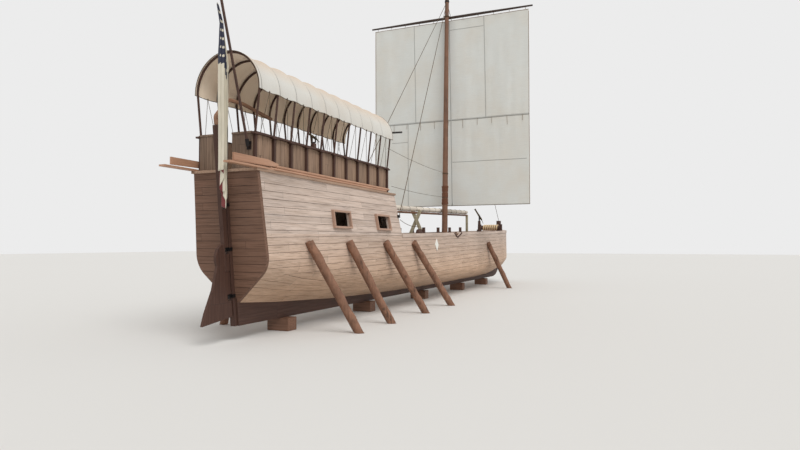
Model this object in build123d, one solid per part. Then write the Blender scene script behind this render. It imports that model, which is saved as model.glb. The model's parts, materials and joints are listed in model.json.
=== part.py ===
from build123d import *
import os
from math import cos, hypot, radians, sin, tan

# A river keelboat with a raised stern cabin, a hooped canvas tilt, one square sail and log shores.
# Millimetres. +X bow, +Y port, +Z up. While building, x = 0 is the aft face of the transom at the deck
# and z = 0 is the ground. The finished pieces are shifted so that x = 0 is the middle of the length.

# Hull shell
PLANK = 38
FIT = 0.3
RUNNING = 0.1
KEEL_HALF = 70
KEEL_BOTTOM = 220
FRAME_DEPTH = 70
FRAME_WIDTH = 60
FLOOR_Z = 600
FLOORBOARD = 25
BOARD_WIDTH = 150
BOARD_GAP = 5

# Cabin, quarterdeck and transom
CABIN_FRONT = 4900
DECK_Z = 2550
DECK_THICK = 40
DECK_HALF = 580
DECK_OVERHANG = 25
BULKHEAD = 40
TRANSOM = 60
RAKE = 6.7

# Hull sections from stern to bow: x, half-breadth and height of the sheer, half-breadth and height of the
# bilge corner, height of the planks' lower edge at the keel, radius of the bilge
SECTIONS = [
    (-120, 615, 1600, 640, 1150, 600, 400),
    (1200, 680, 1610, 705, 980, 500, 380),
    (3000, 735, 1628, 765, 800, 410, 340),
    (CABIN_FRONT, 765, 1646, 800, 660, 360, 300),
    (7500, 785, 1707, 830, 600, 330, 300),
    (10500, 785, 1790, 830, 600, 330, 300),
    (13000, 770, 1859, 815, 640, 340, 300),
    (14400, 725, 1900, 755, 740, 370, 280),
    (15400, 600, 1932, 610, 880, 450, 240),
    (16100, 385, 1965, 365, 1050, 620, 170),
    (16500, 175, 1990, 155, 1250, 900, 100),
    (16640, 84, 2000, 80, 1400, 1080, 70),
]

# Frames, seats and the deck at the bow
CABIN_FRAMES = 4
CABIN_FRAME_X = 1300
HOLD_FRAMES = 9
HOLD_FRAME_X = 5450
FRAME_PITCH = 900
THWART_Z = 1350
THWART_THICK = 40
THWART_WIDTH = 240
PARTNER_WIDTH = 400
MAST_FRAME = 5
BOW_DECK_X = 12500
BOW_DECK_Z = 1720
BOW_DECK_END = 16380
BOW_DECK_THICK = 40

# Gunwale cap with its outer strake, and the thole pins
CAP_THICK = 28
CAP_WIDTH = 120
STRAKE_THICK = 16
STRAKE_DEPTH = 50
THOLE_X = (6345, 7352, 8271, 9218)
THOLE_HEIGHT = 140
THOLE_WIDTH = 60
THOLE_FOOT = 100
NOTCH_X = 8770
NOTCH_WIDTH = 690
NOTCH_DEPTH = 113

# Windows and door
WINDOW_X = (2330, 4020)
WINDOW_Z = 1890
WINDOW_LENGTH = 550
WINDOW_HEIGHT = 248
WINDOW_TRIM = 36
TRIM_THICK = 52
DOOR_WIDTH = 560
DOOR_BOTTOM = 700
DOOR_TOP = 2080
DOOR_THICK = 34
DOOR_GAP = 6
HINGE_PIN = 8

# Bulwark, hoops and canvas
HOOP_COUNT = 11
HOOP_X = 60
HOOP_PITCH = 463
HOOP_HALF = 500
HOOP_TOP_HALF = 572
HOOP_THICK = 24
HOOP_WIDTH = 30
SPRING_Z = 3736
RAIL_Z = 3090
RAIL_THICK = 30
RAIL_WIDTH = 64
RAIL_BLOCK = 144
POST = 44
BOARD_THICK = 25
GROOVE_PITCH = 115
GROOVE_WIDTH = 5
GROOVE_DEPTH = 4
STERN_GAP_HALF = 120
CANVAS = 8
CANVAS_EDGE_Z = 3700
CANVAS_AFT = 20
CANVAS_FRONT = 4800

# Rudder and tiller
POST_DEPTH = 60
POST_HALF = 42
RUDDER_CLEAR = 10
STOCK_DEPTH = 92
STOCK_HALF = 35
STOCK_TOP = 640
RUDDER_FOOT = 2190
BLADE_HALF = 24
STRAP_THICK = 8
STRAP_HEIGHT = 50
PINTLE_R = 14
GUDGEON_WALL = 12
PINTLE_HEIGHTS = (-1180, -1880, -520)
TILLER_SIZE = 52
TILLER_TIP_X = 1160
TILLER_TIP_Z = 3510

# Mast, yard and sail
MAST_X = 9931
MAST_RAKE = 2.2
MAST_TOP = 9900
MAST_FOOT_R = 92
MAST_TOP_R = 55
WOOLD_Z = (2650, 3190)
WOOLD_THICK = 12
STEP_SIZE = 340
STEP_HEIGHT = 80
YARD_Z = 8430
YARD_LENGTH = 5190
YARD_MID_R = 40
YARD_END_R = 24
YARD_CLEAR = 22
SAIL_HEAD_HALF = 2480
SAIL_FOOT_HALF = 2480
SAIL_FOOT_Z = 2610
SAIL_THICK = 10
SAIL_DROP = 40
PARREL_R = 14
STAY_R = 8
STAY_Z = 8900
HALYARD_R = 9
HALYARD_TOP = 8690

# Awning pole with its crutches
POLE_Y = 190
POLE_R = 28
POLE_AFT_Z = 2210
POLE_FRONT_X = 12950
POLE_FRONT_Z = 2440
AWNING_R = 75
AWNING_AFT_X = 5200
AWNING_FRONT_X = 12800
CRUTCH = 70
CRUTCH_X = 8150
CRUTCH_SPREAD = 330
CRUTCH_TIP = 112
CRUTCH_BOARD = 90
CRUTCH_THICK = 36

# Sweeps laid along the deck edge
SWEEP_LENGTH = 5150
SWEEP_R = 23
SWEEP_BLADE_LENGTH = 1050
SWEEP_BLADE_HEIGHT = 120
SWEEP_BLADE_THICK = 26
SWEEP_AFT = (-500, -650)
SWEEP_Y = 563

# Flagstaff and flag
STAFF_LEAN = 17.5
STAFF_Y = 430
STAFF_FOOT_Z = 2880
STAFF_TOP_Z = 5300
STAFF_R = 19
SOCKET_WALL = 8
FLAG_TOP_Z = 4720
FLAG_TIP_Z = 1870
FLAG_HALF = 65

# Swivel guns
GUN_BOW_X = 13800
GUN_BOW_YAW = 118
GUN_BOW_RISE = 58
GUN_STERN_YAW = 180
GUN_STERN_RISE = 12
GUN_POST_R = 60
GUN_POST_TOP = 2280
GUN_HEIGHT = 170
GUN_HANDLE = 150
GUN_PAD = 70
YOKE_PIN_R = 10
YOKE_ARM = 9
TRUNNION_R = 9
SIDE_CLEAR = 6

# Windlass, bitts, knob and plaques
WINDLASS_X = 15350
WINDLASS_Z = 2075
WINDLASS_HALF = 360
WINDLASS_R = 85
ROPE_WRAP_R = 125
BITT_SIZE = 90
BITT_HEIGHT = 480
MOORING_R = 45
MOORING_HEIGHT = 260
MOORING_X = 14700
MOORING_Y = 300
KNOB_X = 6060
KNOB_R = 110
PLAQUE_X = 7040
PLAQUE_Z = 1430
PLAQUE_HALF_HEIGHT = 150
PLAQUE_HALF_WIDTH = 120
PLAQUE_THICK = 14

# Log shores: x of the top, x of the foot
SHORES = [(1200, 1680), (2480, 2980), (4000, 4750), (5480, 6450), (11900, 12500)]
SHORE_R = 82
SHORE_TOP_Z = 1470
SHORE_FOOT_Y = 1380
BLOCK_X = (1500, 4600, 7900, 11200, 14000)
BLOCK_LENGTH = 260
BLOCK_WIDTH = 420

parts = {}


def box(x0, x1, y0, y1, z0, z1):
    """A box between two corners."""
    middle = ((x0 + x1) / 2, (y0 + y1) / 2, (z0 + z1) / 2)
    return Pos(*middle) * Box(x1 - x0, y1 - y0, z1 - z0)


def port_and_starboard(shape):
    """The port piece and its mirror image."""
    return shape, mirror(shape, about=Plane.XZ)


def group(shapes):
    """Like pieces that share a node."""
    return Compound(children=[solid for shape in shapes for solid in shape.solids()])


def largest(shape):
    """The piece that is left when a cut strands a chip on its far side."""
    return max(shape.solids(), key=lambda solid: solid.volume)


def rod(start, end, radius):
    """A round bar from one point to another."""
    axis = Vector(*end) - Vector(*start)
    return Plane(origin=start, z_dir=axis) * extrude(Circle(radius), axis.length)


# Hull sections are drawn in (y, z) for the port half, from the sheer down to the keel.

def inset_line(start, end, depth):
    """A line moved towards the inside of the hull."""
    dy, dz = end[0] - start[0], end[1] - start[1]
    length = hypot(dy, dz)
    shift = (dz / length * depth, -dy / length * depth)
    return (start[0] + shift[0], start[1] + shift[1]), (end[0] + shift[0], end[1] + shift[1])


def breadth_at(line, z):
    """The y where a line reaches a height."""
    (y0, z0), (y1, z1) = line
    return y0 + (y1 - y0) * (z - z0) / (z1 - z0)


def crossing(first, second):
    """The point where two lines meet."""
    (y0, z0), (y1, z1) = first
    (y2, z2), (y3, z3) = second
    across = (y1 - y0) * (z3 - z2) - (z1 - z0) * (y3 - y2)
    share = ((y2 - y0) * (z3 - z2) - (z2 - z0) * (y3 - y2)) / across
    return y0 + (y1 - y0) * share, z0 + (z1 - z0) * share


def hull_line(section, depth):
    """Sheer point, bilge corner, keel point and bilge radius of a section at a depth inside the planks."""
    x, sheer_y, sheer_z, bilge_y, bilge_z, keel_z, radius = section
    side = inset_line((sheer_y, sheer_z), (bilge_y, bilge_z), depth)
    floor = inset_line((bilge_y, bilge_z), (KEEL_HALF, keel_z), depth)
    top = (x, breadth_at(side, sheer_z), sheer_z)
    corner = (x,) + crossing(side, floor)
    keel = (x,) + floor[1]
    if keel[1] < CENTRE_HALF:
        keel = (x,) + crossing(floor, ((CENTRE_HALF, 0), (CENTRE_HALF, 1)))
    return top, corner, keel, radius - depth


def shell(sections, outer, inner):
    """The port half of a shell between two depths inside the planks' outer face."""
    faces = []
    for section in sections:
        top, corner, keel, radius = hull_line(section, outer)
        top_in, corner_in, keel_in, radius_in = hull_line(section, inner)
        edges = FilletPolyline(top, corner, keel, radius=radius).edges()
        edges += [Line(keel, keel_in)]
        edges += FilletPolyline(keel_in, corner_in, top_in, radius=radius_in).edges()
        edges += [Line(top_in, top)]
        faces.append(make_face(edges))
    return loft(faces, ruled=True)


def plank_runs(sections, outer, inner):
    """The port half of a shell as lengths of topside, bilge and bottom planking that butt at the sections."""
    rows = []
    for section in sections:
        top, corner, keel, radius = hull_line(section, outer)
        top_in, corner_in, keel_in, radius_in = hull_line(section, inner)
        outside = FilletPolyline(top, corner, keel, radius=radius).edges().sort_by(Axis.Z)
        inside = FilletPolyline(top_in, corner_in, keel_in, radius=radius_in).edges().sort_by(Axis.Z)
        row = []
        for edge, edge_in in zip(outside, inside):
            ends = sorted((edge @ 0, edge @ 1), key=lambda point: point.Z)
            ends_in = sorted((edge_in @ 0, edge_in @ 1), key=lambda point: point.Z)
            row.append(make_face([edge, edge_in, Line(ends[0], ends_in[0]), Line(ends[1], ends_in[1])]))
        rows.append(row)
    runs = []
    for before, after in zip(rows, rows[1:]):
        runs += [loft([aft, fore], ruled=True) for aft, fore in zip(before, after)]
    return runs


def hull_volume(sections, depth):
    """The whole space inside the hull at a depth inside the planks' outer face, up to the sheer."""
    faces = []
    for section in sections:
        top, corner, keel, radius = hull_line(section, depth)
        low, high = (section[0], 0, keel[2]), (section[0], 0, section[2])
        edges = FilletPolyline(top, corner, keel, radius=radius).edges()
        edges += [Line(keel, low), Line(low, high), Line(high, top)]
        faces.append(make_face(edges))
    half = loft(faces, ruled=True)
    return half + mirror(half, about=Plane.XZ)


def cabin_line(section, depth):
    """The cabin side's line at a section: from the sheer up to the underside of the deck."""
    low = (section[1], section[2])
    high = (DECK_HALF, DECK_Z - DECK_THICK)
    line = inset_line(high, low, depth)
    return (breadth_at(line, low[1]), low[1]), (breadth_at(line, high[1]), high[1])


def cabin_shell(outer, inner):
    """The port cabin side between two depths inside its outer face."""
    faces = []
    for section in CABIN_SECTIONS:
        x = section[0]
        low, high = cabin_line(section, outer)
        low_in, high_in = cabin_line(section, inner)
        corners = [(x,) + low, (x,) + high, (x,) + high_in, (x,) + low_in]
        faces.append(make_face(Polyline(*corners, close=True).edges()))
    return loft(faces, ruled=True)


def cabin_volume(depth):
    """The space inside the cabin sides, above the sheer."""
    faces = []
    for section in CABIN_SECTIONS:
        x = section[0]
        low, high = cabin_line(section, depth)
        corners = [(x,) + low, (x,) + high, (x, -high[0], high[1]), (x, -low[0], low[1])]
        faces.append(make_face(Polyline(*corners, close=True).edges()))
    return loft(faces, ruled=True)


def section_at(x):
    """A hull section between two rows of the table."""
    for before, after in zip(SECTIONS, SECTIONS[1:]):
        if x <= after[0]:
            share = (x - before[0]) / (after[0] - before[0])
            return tuple(low + (high - low) * share for low, high in zip(before, after))
    return SECTIONS[-1]


def side_y(x, z):
    """Half-breadth of the hull's side at a place, on the straight part of the section."""
    section = section_at(x)
    if z > section[2]:
        return breadth_at(((section[1], section[2]), (DECK_HALF, DECK_Z - DECK_THICK)), z)
    return breadth_at(((section[1], section[2]), (section[3], section[4])), z)


def raked(shape):
    """Moves a piece drawn upright at the deck edge into the transom's rake."""
    return Pos(0, 0, DECK_Z) * Rot(0, -RAKE, 0) * shape


def raked_x(z):
    """x of the transom's aft face at a height."""
    return (DECK_Z - z) * tan(radians(RAKE))


CABIN_SECTIONS = [section for section in SECTIONS if section[0] <= CABIN_FRONT]
FRAME_SECTIONS = [section for section in SECTIONS if section[0] <= BOW_DECK_X + 600]
FLOOR_TOP = FLOOR_Z + FLOORBOARD
BUTTS = sorted(SECTIONS + [section_at(NOTCH_X)])
INSIDE = PLANK + FIT
BEHIND = -1500
AHEAD = SECTIONS[-1][0]
CENTRE_HALF = 8


def hull():
    """Keel with skeg, planks, frames, floorboards, seats and the deck at the bow."""
    behind_transom = raked(box(BEHIND, TRANSOM, -2000, 2000, -4000, 1000))
    runs = group([run - behind_transom for run in plank_runs(BUTTS, 0, PLANK)])
    parts["hull_planking_port"], parts["hull_planking_starboard"] = port_and_starboard(runs)
    skins = port_and_starboard(shell(SECTIONS, 0, PLANK) - behind_transom)

    inner = hull_volume(SECTIONS, INSIDE)
    slab = raked(box(0, TRANSOM, -2000, 2000, -4000, 1000))
    stern = hull_volume(SECTIONS[:2], 0) + cabin_volume(0)
    parts["transom"] = (stern & slab) - box(-500, 500, -KEEL_HALF, KEEL_HALF, 0, 640)

    # The keel's top follows the planks' lower edge, so its aft end is the skeg
    top = [(section[0], section[5] + PLANK) for section in SECTIONS[:9]]
    stern_x = raked_x(KEEL_BOTTOM)
    outline = [(stern_x, KEEL_BOTTOM), (raked_x(700), 700)]
    outline += [(x, z) for x, z in top if x > stern_x]
    outline += [(top[-1][0], KEEL_BOTTOM)]
    keel = extrude(Plane.XZ * make_face(Polyline(*outline, close=True).edges()), KEEL_HALF, both=True)
    keel = keel - parts["transom"] - skins[0] - skins[1]
    parts["keel"] = keel

    # The stem carries the planks in rabbets along both of its sides
    foot = top[-1][0]
    outer = FilletPolyline((foot, KEEL_BOTTOM), (16120, 300), (16760, 1150), (16760, 2380), radius=[1100, 700])
    inner_edge = FilletPolyline((16570, 2380), (16570, 1230), (16080, 560), (foot, top[-1][1]), radius=[450, 600])
    edges = outer.edges() + [Line((16760, 2380), (16570, 2380))] + inner_edge.edges()
    edges += [Line((foot, top[-1][1]), (foot, KEEL_BOTTOM))]
    stem = extrude(Plane.XZ * make_face(edges), KEEL_HALF, both=True)
    stem -= Pos(16665, 0, 2250) * Rot(90, 0, 0) * Cylinder(22, 400)
    parts["stem"] = stem - skins[0] - skins[1]

    # Frames with floor timbers under the boards
    frame_x = [CABIN_FRAME_X + FRAME_PITCH * i for i in range(CABIN_FRAMES)]
    frame_x += [HOLD_FRAME_X + FRAME_PITCH * i for i in range(HOLD_FRAMES)]
    hollow = hull_volume(FRAME_SECTIONS, INSIDE + FRAME_DEPTH) & box(BEHIND, AHEAD, -2000, 2000, FLOOR_Z, 3000)
    half = FRAME_WIDTH / 2
    frames = []
    for x in frame_x:
        rib = inner & box(x - half, x + half, -2000, 2000, 0, 3000)
        frames.append(rib - hollow - keel)
    parts["frames"] = group(frames)

    clear = hull_volume(FRAME_SECTIONS, INSIDE + FRAME_DEPTH + FIT)
    floor_start, floor_end = CABIN_FRAME_X - half, frame_x[-1] + half
    boards = []
    rows = 4
    for row in range(-rows, rows):
        y = row * BOARD_WIDTH + BOARD_GAP / 2
        board = box(floor_start, floor_end, y, y + BOARD_WIDTH - BOARD_GAP, FLOOR_Z, FLOOR_TOP)
        boards.append(board & clear)
    parts["floorboards"] = group(boards)

    hold_x = frame_x[CABIN_FRAMES:]
    seats = []
    for i, x in enumerate(hold_x[1:8], start=1):
        half = (PARTNER_WIDTH if i == MAST_FRAME else THWART_WIDTH) / 2
        seat = box(x - half, x + half, -2000, 2000, THWART_Z, THWART_Z + THWART_THICK) & clear
        if i == MAST_FRAME:
            seat -= mast_solid(FIT)
        seats.append(seat)
    parts["thwarts"] = group(seats)

    deck = inner & box(BOW_DECK_X, BOW_DECK_END, -2000, 2000, BOW_DECK_Z - BOW_DECK_THICK, BOW_DECK_Z)
    parts["bow_deck"] = deck - parts["frames"]


def gunwales():
    """Cap rail and outer strake along both sides in scarfed lengths, with thole pins and the oar notch."""
    faces = []
    stations = [s for s in BUTTS if CABIN_FRONT <= s[0] <= 16500]
    for section in stations:
        x, sheer_y, sheer_z, bilge_y, bilge_z, keel_z, radius = section
        side = (sheer_y, sheer_z), (bilge_y, bilge_z)
        outer = inset_line(*side, -STRAKE_THICK)
        inner = inset_line(*side, -FIT)
        width = min(CAP_WIDTH, sheer_y - KEEL_HALF - 5)
        low, high = sheer_z - STRAKE_DEPTH, sheer_z + CAP_THICK
        corners = [
            (x, breadth_at(outer, low), low),
            (x, breadth_at(outer, high), high),
            (x, sheer_y - width, high),
            (x, sheer_y - width, sheer_z),
            (x, breadth_at(inner, sheer_z), sheer_z),
            (x, breadth_at(inner, low), low),
        ]
        faces.append(make_face(Polyline(*corners, close=True).edges()))
    top = section_at(NOTCH_X)[2] + CAP_THICK
    half = NOTCH_WIDTH / 2 * (1 + 40 / NOTCH_DEPTH)
    notch = Polyline((NOTCH_X - half, top + 40), (NOTCH_X, top - NOTCH_DEPTH), (NOTCH_X + half, top + 40), close=True)
    cut = Pos(0, -500, 0) * extrude(Plane.XZ * make_face(notch.edges()), 600)
    planks = parts["hull_planking_starboard"].solids()
    parts["hull_planking_starboard"] = group([plank - cut for plank in planks])
    pins = []
    for x in THOLE_X:
        section = section_at(x)
        middle = section[1] - CAP_WIDTH / 2
        low = section[2] + CAP_THICK
        foot = THOLE_FOOT / 2
        profile = Polyline((x - foot, low - 12), (x + foot, low - 12), (x + foot, low), (x + 30, low + 50),
                           (x + 30, low + THOLE_HEIGHT), (x - 30, low + THOLE_HEIGHT), (x - 30, low + 50),
                           (x - foot, low), close=True)
        pin = extrude(Plane.XZ * make_face(profile.edges()), THOLE_WIDTH / 2, both=True)
        pins.append((x, Pos(0, middle, 0) * pin))
    port = []
    for i, (before, after) in enumerate(zip(stations, stations[1:])):
        length = loft(faces[i:i + 2], ruled=True)
        for x, pin in pins:
            if before[0] < x < after[0]:
                length += pin
        port.append(length)
    parts["gunwale_port"] = group(port)
    parts["gunwale_starboard"] = group([mirror(length, about=Plane.XZ) - cut for length in port])


def cabin():
    """Cabin sides with windows, the bulkhead with its door, and the quarterdeck."""
    behind_transom = raked(box(BEHIND, TRANSOM, -2000, 2000, -4000, 1000))
    windows = []
    trims = []
    for x in WINDOW_X:
        half, rise = WINDOW_LENGTH / 2, WINDOW_HEIGHT / 2
        windows.append(box(x - half, x + half, 300, 1000, WINDOW_Z - rise, WINDOW_Z + rise))
        outside = cabin_shell(-TRIM_THICK, -FIT)
        rim = box(x - half - WINDOW_TRIM, x + half + WINDOW_TRIM, 300, 1000,
                  WINDOW_Z - rise - WINDOW_TRIM, WINDOW_Z + rise + WINDOW_TRIM)
        trims += port_and_starboard((outside & rim) - windows[-1])
    side = cabin_shell(0, PLANK) - behind_transom
    for window in windows:
        side -= window
    parts["cabin_side_port"], parts["cabin_side_starboard"] = port_and_starboard(side)
    parts["window_frames"] = group(trims)

    inside = hull_volume(SECTIONS[2:5], INSIDE) + cabin_volume(INSIDE)
    front = box(CABIN_FRONT - BULKHEAD, CABIN_FRONT, -2000, 2000, FLOOR_TOP + FIT, DECK_Z - DECK_THICK)
    front = inside & front
    half = DOOR_WIDTH / 2
    front -= box(CABIN_FRONT - 500, CABIN_FRONT + 500, -half, half, DOOR_BOTTOM, DOOR_TOP)
    parts["cabin_front"] = front

    # The door is hung on the port jamb and swings forward
    door = box(CABIN_FRONT - DOOR_THICK, CABIN_FRONT, -half + DOOR_GAP, half - DOOR_GAP,
               DOOR_BOTTOM + DOOR_GAP, DOOR_TOP - DOOR_GAP)
    grooves = [box(CABIN_FRONT - 4, CABIN_FRONT + 1, y - 2, y + 2, DOOR_BOTTOM, DOOR_TOP)
               for y in (-half + 112, -half + 224, -half + 336, -half + 448)]
    for groove in grooves:
        door -= groove
    parts["cabin_door"] = door
    pin_x, pin_y = CABIN_FRONT + HINGE_PIN + 10, half
    straps = []
    leaves = []
    for z in (DOOR_BOTTOM + 220, DOOR_TOP - 220):
        barrel = Pos(pin_x, pin_y, z) * Cylinder(HINGE_PIN + 6, 40)
        strap = box(CABIN_FRONT, CABIN_FRONT + 6, -half + 90, pin_y - 4, z - 16, z + 16)
        arm = box(CABIN_FRONT, pin_x, pin_y - 14, pin_y, z - 16, z + 16)
        knuckle = barrel + strap + arm
        straps.append(knuckle - Pos(pin_x, pin_y, z) * Cylinder(HINGE_PIN + RUNNING, 60))
        pin = Pos(pin_x, pin_y, z - 10) * Cylinder(HINGE_PIN, 70)
        plate = box(CABIN_FRONT, CABIN_FRONT + 6, pin_y + 12, pin_y + 60, z - 52, z - 24)
        reach = box(CABIN_FRONT, pin_x + HINGE_PIN, pin_y - HINGE_PIN, pin_y + 60, z - 52, z - 24)
        leaves.append(pin + plate + (reach - box(CABIN_FRONT - 1, CABIN_FRONT + 60, pin_y - 60, pin_y - 9, 0, 3000)))
    parts["door_straps"] = group(straps)
    parts["door_hinge_pins"] = group(leaves)

    deck = box(-DECK_OVERHANG, CABIN_FRONT + DECK_OVERHANG, -DECK_HALF - DECK_OVERHANG,
               DECK_HALF + DECK_OVERHANG, DECK_Z - DECK_THICK, DECK_Z)
    stock_hole = box(-500, 0, -STERN_GAP_HALF, STERN_GAP_HALF, DECK_Z - 100, DECK_Z + 100)
    deck = deck - stock_hole - parts["transom"]
    parts["quarterdeck"] = deck


def bulwarks():
    """Boarded bulwarks with posts and rails, the hoops that stand on them and the canvas."""
    inner_y = HOOP_HALF - POST / 2 - BOARD_THICK
    board_top = RAIL_Z - RAIL_THICK
    aft, front = HOOP_X - POST / 2, HOOP_X + HOOP_PITCH * (HOOP_COUNT - 1) + POST / 2
    panel = box(aft, front, inner_y, inner_y + BOARD_THICK, DECK_Z, board_top)
    for i in range(1, int((front - aft) / GROOVE_PITCH)):
        x = aft + i * GROOVE_PITCH
        panel -= box(x, x + GROOVE_WIDTH, inner_y + BOARD_THICK - GROOVE_DEPTH, inner_y + BOARD_THICK + 1,
                     DECK_Z, board_top)
    parts["bulwark_port"], parts["bulwark_starboard"] = port_and_starboard(panel)

    rail = box(aft, front + 20, HOOP_HALF + POST / 2 + 8 - RAIL_WIDTH, HOOP_HALF + POST / 2 + 8, board_top, RAIL_Z)
    for i in range(HOOP_COUNT):
        x = HOOP_X + HOOP_PITCH * i
        rail += box(x - POST / 2, x + POST / 2, HOOP_HALF - POST / 2, HOOP_HALF + POST / 2, DECK_Z, board_top)
        rail += box(x - RAIL_BLOCK / 2, x + RAIL_BLOCK / 2, HOOP_HALF - POST / 2, HOOP_HALF + POST / 2 + 22,
                    board_top - 14, board_top + 12)
    parts["bulwark_posts_port"], parts["bulwark_posts_starboard"] = port_and_starboard(rail)

    # Two panels close the stern, with a gap for the rudder head
    stern_x = HOOP_X - POST / 2 - FIT
    panels = []
    for edge in (STERN_GAP_HALF, -HOOP_HALF + POST / 2):
        far = edge + HOOP_HALF - POST / 2 - STERN_GAP_HALF
        board = box(stern_x - BOARD_THICK, stern_x, edge, far, DECK_Z, board_top)
        for i in range(1, int((far - edge) / GROOVE_PITCH) + 1):
            y = edge + i * GROOVE_PITCH
            if y + GROOVE_WIDTH < far - 10:
                board -= box(stern_x - BOARD_THICK - 1, stern_x - BOARD_THICK + GROOVE_DEPTH, y, y + GROOVE_WIDTH,
                             DECK_Z, board_top)
        cap = box(stern_x - BOARD_THICK - 12, stern_x, edge, far, board_top, RAIL_Z)
        panels.append(board + cap)
    parts["bulwark_stern"] = group(panels)

    # The hoops' legs lean outwards from the rail up to the bow
    hoops = []
    for i in range(HOOP_COUNT):
        x = HOOP_X + HOOP_PITCH * i - HOOP_WIDTH / 2
        bent = arch(x, HOOP_THICK / 2, RAIL_Z) - arch(x, -HOOP_THICK / 2, RAIL_Z)
        hoops.append(extrude(bent, HOOP_WIDTH, dir=(1, 0, 0)))
    parts["canopy_hoops"] = group(hoops)

    under = HOOP_THICK / 2 + FIT
    skin = arch(CANVAS_AFT, under + CANVAS, CANVAS_EDGE_Z) - arch(CANVAS_AFT, under, CANVAS_EDGE_Z)
    parts["canopy"] = extrude(skin, CANVAS_FRONT - CANVAS_AFT, dir=(1, 0, 0))


def arch(x, offset, low_z):
    """The hoops' outline across the boat, at an offset outside their middle line."""
    radius = HOOP_TOP_HALF + offset
    leg_y = radius - (HOOP_TOP_HALF - HOOP_HALF) * (SPRING_Z - low_z) / (SPRING_Z - RAIL_Z)
    left, right = (x, leg_y, low_z), (x, -leg_y, low_z)
    edges = [
        Line(left, (x, radius, SPRING_Z)),
        ThreePointArc((x, radius, SPRING_Z), (x, 0, SPRING_Z + radius), (x, -radius, SPRING_Z)),
        Line((x, -radius, SPRING_Z), right),
        Line(right, left),
    ]
    return make_face(edges)


def steering():
    """Sternpost, rudder on pintles and gudgeons, and the tiller above the bulwark."""
    top = 0
    foot = -(DECK_Z - KEEL_BOTTOM) / cos(radians(RAKE))
    post = raked(box(-POST_DEPTH, 0, -POST_HALF, POST_HALF, foot - 40, top))
    post -= box(-1000, 1000, -500, 500, -200, KEEL_BOTTOM)
    post -= parts["quarterdeck"]

    axis_x = -POST_DEPTH - RUDDER_CLEAR - STOCK_DEPTH / 2
    aft = axis_x - STOCK_DEPTH / 2
    stock = box(aft, aft + STOCK_DEPTH, -STOCK_HALF, STOCK_HALF, -1500, STOCK_TOP)
    low = -RUDDER_FOOT
    outline = Polyline((aft + STOCK_DEPTH, low), (aft + STOCK_DEPTH, -1500), (aft, -1500), (aft, -1090))
    shoulder = ThreePointArc((aft, -1090), (aft - 150, -1180), (aft - 165, -1390))
    trailing = Polyline((aft - 165, -1390), (aft - 290, -1720), (aft - 480, -2020), (aft - 560, low))
    edges = outline.edges() + shoulder.edges() + trailing.edges() + [Line((aft - 560, low), (aft + STOCK_DEPTH, low))]
    blade = extrude(Plane.XZ * make_face(edges), BLADE_HALF, both=True)
    rudder = stock + blade

    bore = PINTLE_R + RUNNING
    gudgeons = []
    straps = []
    for z in PINTLE_HEIGHTS:
        eye = Pos(axis_x, 0, z) * Cylinder(bore + GUDGEON_WALL, STRAP_HEIGHT)
        reach = box(axis_x, -POST_DEPTH, -POST_HALF, POST_HALF, z - STRAP_HEIGHT / 2, z + STRAP_HEIGHT / 2)
        cheeks = [box(-POST_DEPTH - 1, -6, y, y + STRAP_THICK, z - STRAP_HEIGHT / 2, z + STRAP_HEIGHT / 2)
                  for y in (POST_HALF, -POST_HALF - STRAP_THICK)]
        bridge = box(-POST_DEPTH - STRAP_THICK, -POST_DEPTH, -POST_HALF - STRAP_THICK, POST_HALF + STRAP_THICK,
                     z - STRAP_HEIGHT / 2, z + STRAP_HEIGHT / 2)
        neck = box(axis_x, -POST_DEPTH, -18, 18, z - STRAP_HEIGHT / 2, z + STRAP_HEIGHT / 2)
        gudgeon = eye + neck + bridge + cheeks[0] + cheeks[1]
        gudgeons.append(raked(gudgeon - Pos(axis_x, 0, z) * Cylinder(bore, 4 * STRAP_HEIGHT)))
        # The stock is notched round each gudgeon, and a strap above it carries the pintle
        notch_low, notch_high = z - STRAP_HEIGHT / 2 - 40, z + STRAP_HEIGHT / 2 + 8
        notch = box(axis_x - bore - GUDGEON_WALL - 10, axis_x + 200, -100, 100, notch_low, notch_high)
        rudder -= notch
        pin = Pos(axis_x, 0, z - 1) * Cylinder(PINTLE_R, STRAP_HEIGHT + 18)
        back = axis_x - bore - GUDGEON_WALL - 10
        high = notch_high
        collar = box(back, aft + STOCK_DEPTH, -STOCK_HALF, STOCK_HALF, high - STRAP_THICK + 2, high)
        straps.append(raked(pin + collar))
    parts["sternpost"] = post
    parts["rudder"] = raked(rudder)
    parts["gudgeons"] = group(gudgeons)
    parts["pintles"] = group(straps)

    # The tiller grows out of the stock's head, rises over the bulwark and runs forward
    head = raked(Pos(axis_x, 0, STOCK_TOP) * Sphere(1)).center()
    lean = (-sin(radians(RAKE)), 0, cos(radians(RAKE)))
    start = (head.X, 0, head.Z)
    rise = (head.X + lean[0] * 130, 0, head.Z + lean[2] * 130)
    path = FilletPolyline(start, rise, (60, 0, 3600), (420, 0, 3610), (TILLER_TIP_X, 0, TILLER_TIP_Z),
                          radius=[70, 160, 400])
    section = Plane(origin=start, x_dir=(0, 1, 0), z_dir=lean) * Rectangle(TILLER_SIZE, TILLER_SIZE)
    parts["tiller"] = sweep(section, path=path)


def mast_solid(extra):
    """The mast, or the space it needs with some room round it."""
    length = (MAST_TOP - FLOOR_TOP) / cos(radians(MAST_RAKE))
    outline = Polyline((0, -60), (MAST_FOOT_R + extra, -60), (MAST_TOP_R + extra, length), (0, length), close=True)
    return masted(revolve(Plane.XZ * make_face(outline.edges()), Axis.Z))


def masted(shape):
    """Moves a piece drawn on a plumb mast at the heel to the raked mast."""
    return Pos(MAST_X, 0, FLOOR_TOP) * Rot(0, MAST_RAKE, 0) * shape


def mast_place(z):
    """Distance along the mast from its heel, for a height."""
    return (z - FLOOR_TOP) / cos(radians(MAST_RAKE))


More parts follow.
